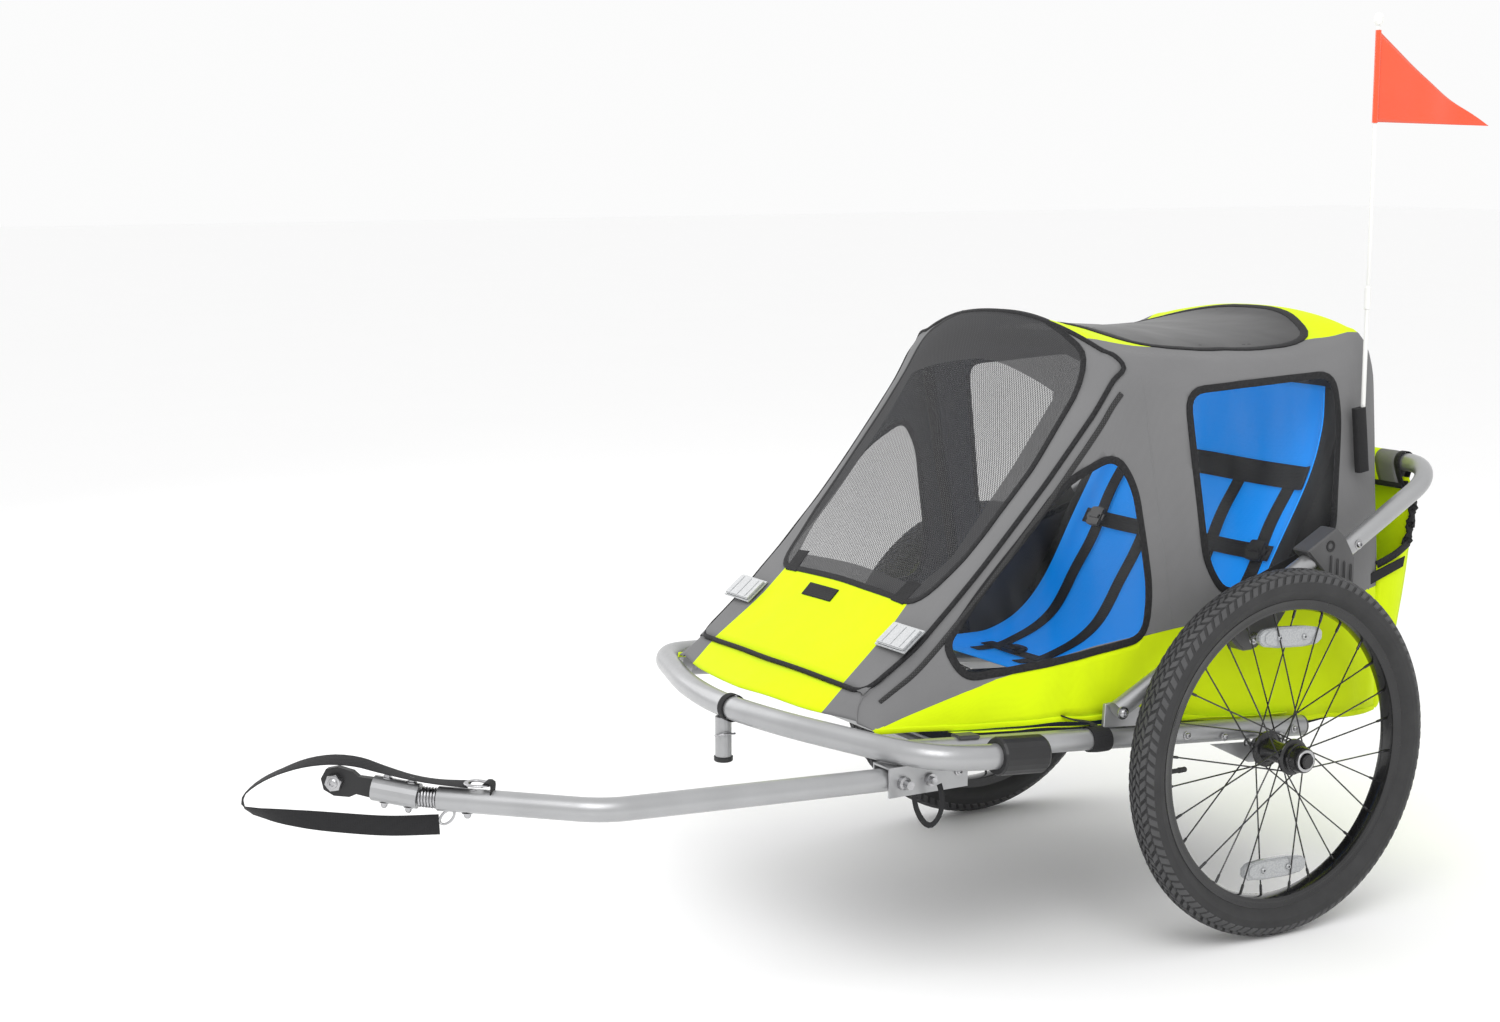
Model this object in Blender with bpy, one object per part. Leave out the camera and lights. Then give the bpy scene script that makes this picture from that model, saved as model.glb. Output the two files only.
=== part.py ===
"""A two-wheeled child bicycle trailer, hitched and ready to tow.

Every length is in metres.  Shapes are written in the trailer's own axes: +X is its left,
-Y is forward, +Z is up, the ground is z = 0 and the wheel axle lies on y = 0.  One empty,
trailer_origin, then moves the whole trailer so that it is centred over its bounding box.
"""

import math

import bmesh
import bpy
from mathutils import Matrix, Vector

# ---------------------------------------------------------------- driving dimensions
AXLE_Y = 0.410             # how far the axle sits behind the middle of the whole trailer
GAP = 0.0003               # clearance between touching pieces

WHEEL_R = 0.250            # a 20 inch wheel with its tyre on
WHEEL_X = 0.343            # wheel plane, half of the track
TYRE_HALF_W = 0.0235
BEAD_R = 0.2098
RIM_HOLE_R = 0.195
HUB_FLANGE_R = 0.0245
HUB_FLANGE_U = 0.0245      # flange distance from the wheel plane
SPOKES_A_SIDE = 14
WHEEL_SEGMENTS = 48

RAIL_X = 0.280             # side rail centre
RAIL_D = 0.0286
RAIL_FRONT_Y = -0.560
RAIL_REAR_Y = 0.095
RAIL_Z = 0.2694            # rail height at the axle
SLOPE = 0.0765             # the base rises towards the front by this much per metre
CROSS_TUBE_R = 0.0095
CROSS_TUBE_DROP = 0.004    # the cross tubes sit this much below the rails' centres

BUMPER_D = 0.0318
BUMPER_X = 0.352           # half width over the straight ends
BUMPER_END_Y = -0.470
BUMPER_Z = 0.275           # height of the bumper's plane carried back to the axle

HOOP_D = 0.0180
FRONT_HOOP_X = 0.236
FRONT_HOOP_FOOT = (-0.100, 0.302)
FRONT_HOOP_TOP = (-0.186, 0.752)
REAR_HOOP_X = 0.236
REAR_HOOP_FOOT = (0.142, 0.512)
REAR_HOOP_TOP = (0.210, 0.758)

HANDLE_D = 0.0254
HANDLE_X = 0.3005
LEG_FOOT = (-0.246, 0.329)    # the leg's pivot on the rail
LEG_END = (0.100, 0.5058)     # where the leg ends, inside its clamp
HANDLE_START = (0.128, 0.4967)
HANDLE_TOP = (0.324, 0.6075)

ARM_D = 0.0286
ARM_X = 0.290
ARM_PIVOT = (-0.543, 0.2815)
ARM_BEND = (0.290, -0.982, 0.301)
ARM_END = (0.166, -1.132, 0.307)
SPRING_END = (0.153, -1.149, 0.3085)
SLEEVE_END = (0.117, -1.192, 0.3165)
HITCH_EYE = (0.088, -1.226, 0.324)
ARM_REAR_Y = -0.535        # the arm's back end, just behind its pivot so that it can swing
COUPLER_GAP = 0.0018       # between the ends of the arm, spring and sleeve, which bend apart
BRACKET_SIDE = 0.0155      # inside half width of the hitch bracket
BRACKET_WALL = 0.0025

BODY_X = 0.262             # half width of the fabric body at the rails
FABRIC_T = 0.0024
PANE_T = 0.0010
REFLECTOR_AT = (0.194, -0.506, 0.4262)
SEAT_X = 0.222             # half width of the seat
SEAT_FOLD = (0.050, 0.390) # where the seat back starts to rise
SEAT_BAND = (0.165, 0.590) # where the harness hangs from the seat back
POLE_X = 0.266
POLE_Y = 0.204
POLE_FOOT_Z = 0.622
POLE_JOIN_Z = 0.846
POLE_TOP_Z = 1.212
POLE_R = 0.0032

# ---------------------------------------------------------------- materials
METAL_GREY = (0.62, 0.62, 0.63, 1)
PLASTIC_GREY = (0.10, 0.10, 0.10, 1)
BLACK = (0.012, 0.012, 0.012, 1)
NEON = (0.80, 0.92, 0.01, 1)
CLOTH_GREY = (0.20, 0.20, 0.20, 1)
SEAT_BLUE = (0.01, 0.22, 0.75, 1)
CLEAR = (0.75, 0.78, 0.80, 1)
FLAG_ORANGE = (0.95, 0.16, 0.03, 1)
WHITE = (0.85, 0.85, 0.85, 1)

LOOKS = {
    "tube_paint": (METAL_GREY, 0.35, 0.7),
    "zinc": (METAL_GREY, 0.25, 1.0),
    "plastic": (PLASTIC_GREY, 0.45, 0.0),
    "rubber": (BLACK, 0.80, 0.0),
    "spoke_black": (BLACK, 0.30, 0.8),
    "neon_cloth": (NEON, 0.75, 0.0),
    "grey_cloth": (CLOTH_GREY, 0.80, 0.0),
    "blue_cloth": (SEAT_BLUE, 0.75, 0.0),
    "webbing": (BLACK, 0.85, 0.0),
    "clear_vinyl": (CLEAR, 0.10, 0.0),
    "flag_vinyl": (FLAG_ORANGE, 0.25, 0.0),
    "white_pole": (WHITE, 0.35, 0.0),
}


def clear_scene():
    for obj in list(bpy.data.objects):
        bpy.data.objects.remove(obj, do_unlink=True)


def material(name, look):
    colour, roughness, metallic = LOOKS[look]
    mat = bpy.data.materials.new(name)
    mat.use_nodes = True
    shader = mat.node_tree.nodes["Principled BSDF"]
    shader.inputs["Base Color"].default_value = colour
    shader.inputs["Roughness"].default_value = roughness
    shader.inputs["Metallic"].default_value = metallic
    return mat


# ---------------------------------------------------------------- bodies and placing
def empty(name, place, parent=None):
    obj = bpy.data.objects.new(name, None)
    bpy.context.scene.collection.objects.link(obj)
    obj.location = place
    obj.parent = parent
    return obj


def pivot(name, place, parent):
    """An empty on a joint's axis; place is in the trailer's axes."""
    obj = empty(name, Vector(place) - origin_of(parent), parent)
    obj["place"] = list(place)
    return obj


def origin_of(body):
    return Vector(body.get("place", (0, 0, 0)))


def put(obj, body, look):
    """Hangs a piece, shaped in the trailer's axes, on a body and gives it its own material."""
    obj.parent = body
    obj.location = -origin_of(body)
    obj.data.materials.append(material(obj.name + "_look", look))
    return obj


def mesh_object(name, mesh):
    obj = bpy.data.objects.new(name, mesh)
    bpy.context.scene.collection.objects.link(obj)
    return obj


def finish(name, bm, smooth=True, sharp_degrees=40):
    bmesh.ops.recalc_face_normals(bm, faces=bm.faces)
    mesh = bpy.data.meshes.new(name)
    bm.to_mesh(mesh)
    bm.free()
    if smooth:
        mesh.shade_smooth()
        mesh.set_sharp_from_angle(angle=math.radians(sharp_degrees))
    return mesh_object(name, mesh)


# ---------------------------------------------------------------- basic shapes
def rounded(corners, radius, steps=6):
    """A route through the corners, each inner corner replaced by an arc of the given radius."""
    points = [Vector(corners[0])]
    for before, here, after in zip(corners, corners[1:], corners[2:]):
        here = Vector(here)
        back = (Vector(before) - here).normalized()
        ahead = (Vector(after) - here).normalized()
        half = back.angle(ahead) / 2
        reach = radius / math.tan(half)
        centre = here + (back + ahead).normalized() * radius / math.sin(half)
        start = here + back * reach - centre
        stop = here + ahead * reach - centre
        turn = start.angle(stop)
        axis = start.cross(stop)
        for k in range(steps + 1):
            points.append(centre + Matrix.Rotation(turn * k / steps, 3, axis) @ start)
    points.append(Vector(corners[-1]))
    return points


def smooth_route(points, step):
    """Points every step metres along a Catmull-Rom curve through the given points."""
    knots = [Vector(p) for p in points]
    knots = [2 * knots[0] - knots[1]] + knots + [2 * knots[-1] - knots[-2]]
    route = []
    for a, b, c, d in zip(knots, knots[1:], knots[2:], knots[3:]):
        count = max(1, round((c - b).length / step))
        for k in range(count):
            t = k / count
            route.append(0.5 * (2 * b + (c - a) * t + (2 * a - 5 * b + 4 * c - d) * t ** 2
                                + (3 * b - a - 3 * c + d) * t ** 3))
    route.append(knots[-2])
    return route


def tube(name, route, diameter, resolution=2):
    """A round bar along a route, with flat ends."""
    curve = bpy.data.curves.new(name, "CURVE")
    curve.dimensions = "3D"
    curve.bevel_depth = diameter / 2
    curve.bevel_resolution = resolution
    curve.use_fill_caps = True
    spline = curve.splines.new("POLY")
    spline.points.add(len(route) - 1)
    for point, place in zip(spline.points, route):
        point.co = (*place, 1)
    spline.use_smooth = True
    return mesh_object(name, curve)


def turned(name, profile, start, axis, sides=20, flats_down=False):
    """A solid turned about an axis: profile is (distance along it, radius), end to end."""
    bm = bmesh.new()
    turn = Vector((0, 0, 1)).rotation_difference(Vector(axis)).to_matrix()
    scale = 1 / math.cos(math.pi / sides) if flats_down else 1
    rings = []
    for along, radius in profile:
        ring = []
        for k in range(sides if radius > 0 else 1):
            angle = 2 * math.pi * (k + (0.5 if flats_down else 0)) / sides
            local = Vector((radius * scale * math.cos(angle),
                            radius * scale * math.sin(angle), along))
            ring.append(bm.verts.new(Vector(start) + turn @ local))
        rings.append(ring)
    closed = profile[0][1] > 0
    pairs = list(zip(rings, rings[1:]))
    if closed:
        pairs.append((rings[-1], rings[0]))
    for one, two in pairs:
        for k in range(sides):
            loop = [one[k % len(one)], one[(k + 1) % len(one)],
                    two[(k + 1) % len(two)], two[k % len(two)]]
            corners = []
            for vert in loop:
                if vert not in corners:
                    corners.append(vert)
            if len(corners) > 2:
                bm.faces.new(corners)
    return finish(name, bm)


def rod(name, start, stop, radius, sides=12):
    axis = Vector(stop) - Vector(start)
    profile = [(0, 0), (0, radius), (axis.length, radius), (axis.length, 0)]
    return turned(name, profile, start, axis, sides)


def prism(name, outline, lift, bevel=0.0):
    """A flat outline (3-D points in one plane) pushed out by the vector lift."""
    bm = bmesh.new()
    base = bm.faces.new([bm.verts.new(p) for p in outline])
    side = bmesh.ops.extrude_face_region(bm, geom=[base])
    moved = [v for v in side["geom"] if isinstance(v, bmesh.types.BMVert)]
    bmesh.ops.translate(bm, verts=moved, vec=lift)
    if bevel:
        bmesh.ops.recalc_face_normals(bm, faces=bm.faces)
        bmesh.ops.bevel(bm, geom=bm.edges[:], offset=bevel, segments=1, affect="EDGES")
    return finish(name, bm, sharp_degrees=25)


def side_plate(name, outline, x, thickness, bevel=0.0):
    """A plate standing along the trailer; outline is (y, z) and x is its lower x face."""
    return prism(name, [(x, y, z) for y, z in outline], (thickness, 0, 0), bevel)


def block(name, low, high, bevel=0.0):
    outline = [(low[0], low[1], low[2]), (high[0], low[1], low[2]),
               (high[0], high[1], low[2]), (low[0], high[1], low[2])]
    return prism(name, outline, (0, 0, high[2] - low[2]), bevel)


def mirrored(points):
    return [Vector((-p[0], p[1], p[2])) for p in points]


def combine(target, other, operation):
    """Applies a Boolean of other to target and removes other."""
    modifier = target.modifiers.new(operation.lower(), "BOOLEAN")
    modifier.operation = operation
    modifier.object = other
    bpy.context.view_layer.update()
    graph = bpy.context.evaluated_depsgraph_get()
    mesh = bpy.data.meshes.new_from_object(target.evaluated_get(graph))
    target.modifiers.clear()
    target.data = mesh
    bpy.data.objects.remove(other, do_unlink=True)
    return target


# ---------------------------------------------------------------- base frame
def rail_z(y):
    return RAIL_Z - SLOPE * y


def bumper_z(y):
    return BUMPER_Z - SLOPE * y


def bumper_route():
    """The front bar: straight ends beside the wheels, round corners and a bowed front."""
    corners = [(BUMPER_X, BUMPER_END_Y), (BUMPER_X, -0.508), (0.338, -0.552), (0.300, -0.583),
               (0.240, -0.606), (0.120, -0.644), (0.0, -0.660)]
    half = [Vector((x, y, bumper_z(y))) for x, y in corners]
    whole = half + mirrored(half[:-1])[::-1]
    return smooth_route(whole, 0.030)


def make_base(root):
    put(tube("bumper_bar", bumper_route(), BUMPER_D, 4), root, "tube_paint")
    for side, sign in (("left", 1), ("right", -1)):
        end = Vector((sign * BUMPER_X, BUMPER_END_Y, bumper_z(BUMPER_END_Y)))
        back = Vector((0, 1, -SLOPE)).normalized()
        lip = BUMPER_D / 2 + 0.0006
        cup = [(GAP * 2, 0), (GAP * 2, lip), (-0.006, lip), (-0.006, 0.0225),
               (-0.003, 0.0242), (0.060, 0.0242), (0.064, 0.0215), (0.064, 0)]
        put(turned(f"bumper_cap_{side}", cup, end, back), root, "plastic")
        rail = [(sign * RAIL_X, RAIL_FRONT_Y, rail_z(RAIL_FRONT_Y)),
                (sign * RAIL_X, RAIL_REAR_Y, rail_z(RAIL_REAR_Y))]
        put(tube(f"side_rail_{side}", rail, RAIL_D, 4), root, "tube_paint")
        put(axle_plate(side, sign), root, "tube_paint")
        put(pivot_bracket(side, sign), root, "tube_paint")
    ends = RAIL_X - RAIL_D / 2 - GAP * 2
    for name, y in (("front_cross_tube", -0.500), ("rear_cross_tube", 0.060)):
        z = rail_z(y) - CROSS_TUBE_DROP
        put(rod(name, (-ends, y, z), (ends, y, z), CROSS_TUBE_R, 14), root, "tube_paint")


def axle_plate(side, sign):
    """Triangular plate under the rail that carries the axle."""
    top = -RAIL_D / 2 - GAP * 2
    outline = [(-0.078, rail_z(-0.078) + top), (0.060, rail_z(0.060) + top),
               (0.030, 0.236), (0.010, 0.226), (-0.012, 0.228)]
    x = 0.292 if sign > 0 else -0.292 - 0.004
    return side_plate(f"axle_plate_{side}", outline, x, 0.004)


def pivot_bracket(side, sign):
    """Bracket on top of the rail that holds the handlebar's foot, just inside it."""
    base = RAIL_D / 2 + GAP * 2
    outline = [(-0.254, rail_z(-0.254) + base), (-0.192, rail_z(-0.192) + base),
               (-0.193, 0.324), (-0.214, 0.337), (-0.252, 0.335)]
    x = 0.2795 if sign > 0 else -0.2795 - 0.0060
    return side_plate(f"pivot_bracket_{side}", outline, x, 0.0060, 0.001)


def make_hitch_bracket(root):
    """Inverted channel under the bumper's left corner, cut to fit round the end of the rail."""
    y0, y1 = -0.603, -0.486
    wall = BRACKET_WALL
    near, far = ARM_X - BRACKET_SIDE, ARM_X + BRACKET_SIDE
    top = ARM_PIVOT[1] + ARM_D / 2 + 0.0045
    low = ARM_PIVOT[1] - 0.0165
    outline = [(near - wall, low), (near - wall, top + wall), (far + wall, top + wall),
               (far + wall, low), (far, low), (far, top), (near, top), (near, low)]
    channel = prism("hitch_bracket", [(x, y0, z) for x, z in outline], (0, y1 - y0, 0))
    space_front, space_rear = RAIL_FRONT_Y - 0.001, y1 + 0.010
    space = rod("rail_space", (RAIL_X, space_front, rail_z(space_front)),
                (RAIL_X, space_rear, rail_z(space_rear)), RAIL_D / 2 + GAP * 2, 24)
    put(combine(channel, space, "DIFFERENCE"), root, "tube_paint")


def make_front_socket(root):
    """Socket under the middle of the bumper, for a stroller wheel."""
    y = -0.660
    top = bumper_z(y) - BUMPER_D / 2 - GAP
    put(rod("stroller_socket", (0, y, 0.2560), (0, y, top), 0.0110, 16), root, "tube_paint")
    cap = [(0, 0), (0, 0.0115), (0.0015, 0.0128), (0.0065, 0.0128), (0.0065, 0)]
    put(turned("socket_cap", cap, (0, y, 0.2490), (0, 0, 1), 16), root, "plastic")


# ---------------------------------------------------------------- wheels
def wheel_ring(name, profile, sign):
    start = (sign * WHEEL_X, 0, WHEEL_R)
    return turned(name, profile, start, (sign, 0, 0), WHEEL_SEGMENTS, flats_down=True)


def spoked_hub(name, sign):
    """Hub shell with two flanges and a fan of straight spokes from each, one solid."""
    centre = Vector((sign * WHEEL_X, 0, WHEEL_R))
    shell = [(-0.0330, 0), (-0.0330, 0.0130), (-0.0275, 0.0150), (-0.0275, HUB_FLANGE_R),
             (-0.0215, HUB_FLANGE_R), (-0.0185, 0.0160), (0.0185, 0.0160),
             (0.0215, HUB_FLANGE_R), (0.0275, HUB_FLANGE_R), (0.0290, 0.0200),
             (0.0360, 0.0180), (0.0360, 0.0165), (0.0500, 0.0160), (0.0500, 0.0105),
             (0.0405, 0.0105), (0.0405, 0)]
    hub = turned(name, shell, centre, (sign, 0, 0), 28)
    for k in range(2 * SPOKES_A_SIDE):
        angle = 2 * math.pi * (k + 0.5) / (2 * SPOKES_A_SIDE)
        radial = Vector((0, math.sin(angle), math.cos(angle)))
        flange = HUB_FLANGE_U if k % 2 else -HUB_FLANGE_U
        inner = centre + radial * (HUB_FLANGE_R - 0.004) + Vector((sign * flange, 0, 0))
        outer = centre + radial * (RIM_HOLE_R - 0.0012) + Vector((sign * flange * 0.10, 0, 0))
        hub = combine(hub, rod("spoke", inner, outer, 0.0013, 5), "UNION")
    return hub


def make_wheel(side, sign, root):
    wheel = pivot(f"wheel_{side}_axis", (sign * WHEEL_X, 0, WHEEL_R), root)
    w = TYRE_HALF_W
    tyre = [(-0.0125, BEAD_R), (-w + 0.002, 0.2195), (-w, 0.2320), (-0.0190, 0.2455),
            (-0.0110, WHEEL_R), (0.0110, WHEEL_R), (0.0190, 0.2455), (w, 0.2320),
            (w - 0.002, 0.2195), (0.0125, BEAD_R)]
    put(wheel_ring(f"tyre_{side}", tyre, sign), wheel, "rubber")
    rim = [(-0.0125, 0.2090), (-0.0130, 0.2000), (-0.0070, RIM_HOLE_R), (0.0070, RIM_HOLE_R),
           (0.0130, 0.2000), (0.0125, 0.2090), (0.0090, 0.2040), (-0.0090, 0.2040)]
    put(wheel_ring(f"rim_{side}", rim, sign), wheel, "spoke_black")
    put(spoked_hub(f"hub_{side}", sign), wheel, "spoke_black")
    end = WHEEL_X + 0.0440 + GAP
    button_axis = pivot(f"release_button_{side}_axis", (sign * end, 0, WHEEL_R), root)
    knob = [(0, 0), (0, 0.0095), (0.0095, 0.0095), (0.0110, 0.0075), (0.0110, 0)]
    button = turned(f"release_button_{side}", knob, (sign * end, 0, WHEEL_R), (sign, 0, 0), 16)
    put(button, button_axis, "spoke_black")
    inner, outer = 0.2962 + GAP, WHEEL_X - 0.0330 - GAP
    axle = rod(f"axle_stub_{side}", (sign * inner, 0, WHEEL_R), (sign * outer, 0, WHEEL_R), 0.0110)
    put(axle, root, "zinc")


# ---------------------------------------------------------------- fabric body
# Half cross-sections from front to rear: y, bow, bottom z, bottom half width,
# shoulder half width, shoulder z, crown z, shoulder radius.
STATIONS = [
    (-0.588, 0.048, 0.3340, 0.255, 0.226, 0.342, 0.346, 0.003),
    (-0.574, 0.010, 0.3330, 0.257, 0.208, 0.372, 0.376, 0.006),
    (-0.500, 0.004, 0.3280, 0.260, 0.216, 0.431, 0.438, 0.012),
    (-0.410, 0.003, 0.3230, BODY_X, 0.222, 0.520, 0.531, 0.016),
    (-0.310, 0.006, 0.3160, BODY_X, 0.229, 0.631, 0.649, 0.022),
    (-0.236, 0.014, 0.3105, BODY_X, 0.235, 0.722, 0.756, 0.030),
    (-0.190, 0.030, 0.3060, BODY_X, 0.240, 0.784, 0.824, 0.040),
    (-0.120, 0.018, 0.2970, BODY_X, 0.248, 0.777, 0.806, 0.046),
    (0.000, 0.000, 0.2800, BODY_X, 0.251, 0.770, 0.797, 0.048),
    (0.120, -0.004, 0.2630, BODY_X, 0.252, 0.770, 0.797, 0.048),
    (0.190, -0.012, 0.2610, 0.261, 0.249, 0.783, 0.808, 0.046),
    (0.236, -0.016, 0.2600, 0.258, 0.240, 0.798, 0.822, 0.050),
    (0.262, -0.016, 0.2600, 0.250, 0.222, 0.772, 0.790, 0.055),
]
SIDE_STEPS = 6
ARC_STEPS = 4
CROWN_STEPS = 5
COVER_FIRST = 1            # the front opening runs between these two stations
COVER_LAST = 6


def section(station, inset=0.0):
    """Points of one arch, from the bottom left over the crown to the bottom right."""
    y, bow, low_z, low_x, top_x, top_z, crown_z, radius = station
    low_x, top_x = low_x - inset, top_x - inset
    top_z, crown_z = top_z - inset, crown_z - inset
    half = []
    for k in range(SIDE_STEPS + 1):
        t = k / SIDE_STEPS
        z = low_z + (top_z - radius - low_z) * t
        x = low_x + (top_x - low_x) * t ** 1.6
        half.append((x, z))
    for k in range(1, ARC_STEPS + 1):
        a = math.pi / 2 * k / ARC_STEPS
        half.append((top_x - radius + radius * math.cos(a), top_z - radius + radius * math.sin(a)))
    edge = top_x - radius
    for k in range(1, CROWN_STEPS + 1):
        x = edge * (1 - k / CROWN_STEPS)
        half.append((x, top_z + (crown_z - top_z) * (1 - (x / edge) ** 2)))
    whole = half + [(-x, z) for x, z in half[:-1]][::-1]
    return [Vector((x, y - bow * (1 - (abs(x) / BODY_X) ** 1.5), z)) for x, z in whole]


def skin(name, first, last, keep_face, inset=0.0, rear_wall=False):
    """Sheet over the arches first..last; keep_face(station, column) says which cells stay."""
    bm = bmesh.new()
    rows = []
    for station in STATIONS[first:last + 1]:
        rows.append([bm.verts.new(p) for p in section(station, inset)])
    for r in range(len(rows) - 1):
        for c in range(len(rows[0]) - 1):
            if keep_face(first + r, c):
                bm.faces.new((rows[r][c], rows[r][c + 1], rows[r + 1][c + 1], rows[r + 1][c]))
    if rear_wall:
        count = len(rows[-1])
        for c in range(count // 2):
            other = count - 2 - c
            loop = [rows[-1][c], rows[-1][c + 1], rows[-1][other], rows[-1][other + 1]]
            corners = list(dict.fromkeys(loop))
            bm.faces.new(corners)
    loose = [v for v in bm.verts if not v.link_faces]
    bmesh.ops.delete(bm, geom=loose, context="VERTS")
    return finish(name, bm)


def thicken(obj, thickness, offset=-1.0):
    modifier = obj.modifiers.new("thickness", "SOLIDIFY")
    modifier.thickness = thickness
    modifier.offset = offset
    modifier.use_even_offset = True
    return obj


TOP_FIRST = SIDE_STEPS + ARC_STEPS
TOP_LAST = TOP_FIRST + 2 * CROWN_STEPS


def in_cover(row, column):
    return COVER_FIRST <= row < COVER_LAST and TOP_FIRST <= column < TOP_LAST


def window_outline(points, radius, inset):
    """A (y, z) polygon drawn in by inset, with each corner rounded."""
    corners = [Vector(p) for p in points]
    count = len(corners)
    centre = sum(corners, Vector((0, 0))) / count
    drawn_in = []
    for k in range(count):
        away = (corners[k - 1] - corners[k]).normalized()
        on = (corners[(k + 1) % count] - corners[k]).normalized()
        inward = (away + on).normalized()
        if inward.dot(centre - corners[k]) < 0:
            inward = -inward
        drawn_in.append(corners[k] + inward * inset / math.sin(away.angle(on) / 2))
    outline = []
    for k in range(count):
        here = drawn_in[k]
        away = drawn_in[k - 1] - here
        on = drawn_in[(k + 1) % count] - here
        reach = min(radius, 0.45 * away.length, 0.45 * on.length)
        first = here + away.normalized() * reach
        second = here + on.normalized() * reach
        for t in (0.0, 0.5, 1.0):
            outline.append(first * (1 - t) ** 2 + here * 2 * t * (1 - t) + second * t ** 2)
    return outline


FRONT_WINDOW = [(-0.212, 0.655), (-0.285, 0.622), (-0.470, 0.425), (-0.452, 0.386),
                (-0.300, 0.394), (-0.168, 0.410), (-0.160, 0.470), (-0.182, 0.610)]
REAR_WINDOW = [(-0.098, 0.732), (0.160, 0.742), (0.172, 0.690), (0.166, 0.515),
               (-0.030, 0.452), (-0.066, 0.500)]
SUNROOF = [(-0.128, -0.172), (0.178, -0.190), (0.236, -0.070), (0.236, 0.070),
           (0.178, 0.190), (-0.128, 0.172)]


def window_cutter(outline, radius, inset, sign):
    """A prism through one side wall."""
    points = window_outline(outline, radius, inset)
    return prism("window_cutter", [(sign * 0.200, y, z) for y, z in points], (sign * 0.09, 0, 0))


def roof_cutter(inset):
    points = window_outline(SUNROOF, 0.05, inset)
    return prism("roof_cutter", [(x, y, 0.70) for y, x in points], (0, 0, 0.2))


def make_fabric_body(root):
    last = len(STATIONS) - 1
    body = skin("fabric_body", 0, last, lambda r, c: not in_cover(r, c), rear_wall=True)
    thicken(body, FABRIC_T)
    for outline, radius in ((FRONT_WINDOW, 0.03), (REAR_WINDOW, 0.03)):
        for sign in (1, -1):
            body = combine(body, window_cutter(outline, radius, 0.0, sign), "DIFFERENCE")
    body = combine(body, roof_cutter(0.0), "DIFFERENCE")
    put(body, root, "grey_cloth")
    panes = ((FRONT_WINDOW, "front"), (REAR_WINDOW, "rear"))
    for outline, place in panes:
        for side, sign in (("left", 1), ("right", -1)):
            name = f"window_{place}_{side}"
            pane = skin(name, 0, last, lambda r, c: not in_cover(r, c), 0.0007)
            thicken(pane, PANE_T)
            cutter = window_cutter(outline, 0.03, GAP * 2, sign)
            put(combine(pane, cutter, "INTERSECT"), root, "clear_vinyl")
    pane = skin("sunroof", 0, last, lambda r, c: not in_cover(r, c), 0.0007)
    thicken(pane, PANE_T)
    put(combine(pane, roof_cutter(GAP * 2), "INTERSECT"), root, "clear_vinyl")


def make_front_cover(root):
    """Mesh screen with its cloth panel, hinged along the front hoop's crown."""
    hinge = pivot("front_cover_axis", (0, -0.206, 0.826), root)
    bm = bmesh.new()
    rows = []
    for station in STATIONS[COVER_FIRST:COVER_LAST + 1]:
        ring = section(station)[TOP_FIRST:TOP_LAST + 1]
        rows.append([bm.verts.new(p) for p in ring])
    for r in range(len(rows) - 1):
        for c in range(len(rows[0]) - 1):
            bm.faces.new((rows[r][c], rows[r][c + 1], rows[r + 1][c + 1], rows[r + 1][c]))
    bmesh.ops.recalc_face_normals(bm, faces=bm.faces)
    if bm.faces[0].normal.z < 0:
        bmesh.ops.reverse_faces(bm, faces=bm.faces)
    bm.normal_update()
    for vert in bm.verts:
        vert.co += vert.normal * 0.0012
    mesh = bpy.data.meshes.new("front_cover")
    bm.to_mesh(mesh)
    bm.free()
    mesh.shade_smooth()
    cover = thicken(mesh_object("front_cover", mesh), 0.0024, 1.0)
    put(cover, hinge, "grey_cloth")
    for side, sign in (("left", 1), ("right", -1)):
        put(reflector(f"front_reflector_{side}", sign), hinge, "clear_vinyl")


def reflector(name, sign):
    """A flat rectangular reflector lying on the lower corner of the front cover."""
    up_slope = Vector((0, 0.782, 0.623)).normalized()
    across = Vector((sign, 0, 0))
    normal = Vector((0, -up_slope.z, up_slope.y))
    start = Vector((sign * REFLECTOR_AT[0], *REFLECTOR_AT[1:])) + normal * 0.0098
    half_w, half_h = 0.0340, 0.0205
    points = []
    for a, b in ((-half_w, -half_h), (half_w, -half_h), (half_w, half_h), (-half_w, half_h)):
        points.append(start + across * a + up_slope * b)
    return prism(name, points, normal * 0.0050, 0.0012)


# ---------------------------------------------------------------- floor, seat, harness
def make_floor(root):
    """Stiff floor hung a little below the rails and cross tubes."""
    half = BODY_X - FABRIC_T - 0.004
    y0, y1 = -0.470, 0.225
    outline = [(y0, rail_z(y0) - 0.026), (y1, rail_z(y1) - 0.024), (y1, rail_z(y1) - 0.0155),
               (y0, rail_z(y0) - 0.018)]
    put(side_plate("floor_panel", outline, -half, 2 * half), root, "rubber")


def make_seat(root):
    """A slung cloth seat: the back leans against the rear hoop, the base runs on forward."""
    outline = [(-0.160, 0.310), (-0.062, 0.312), (0.000, 0.338), SEAT_FOLD, SEAT_BAND,
               (0.189, 0.660), (0.190, 0.722), (0.198, 0.720), (0.199, 0.657), (0.176, 0.585),
               (0.061, 0.385), (0.010, 0.326), (-0.058, 0.299), (-0.160, 0.298)]
    put(side_plate("seat", outline, -SEAT_X, 2 * SEAT_X), root, "blue_cloth")
    for side, sign in (("left", 1), ("right", -1)):
        centre = sign * 0.125
        put(harness(f"harness_{side}", centre), root, "webbing")
        put(buckle(f"buckle_{side}", centre), root, "plastic")


def on_seat_back(centre, across, rise, off):
    """A point above the seat back: across from a child's middle, up the back, and off it."""
    up = Vector((0, SEAT_BAND[0] - SEAT_FOLD[0], SEAT_BAND[1] - SEAT_FOLD[1])).normalized()
    out = Vector((0, -up.z, up.y))
    return Vector((centre + across, *SEAT_FOLD)) + up * rise + out * off


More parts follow.
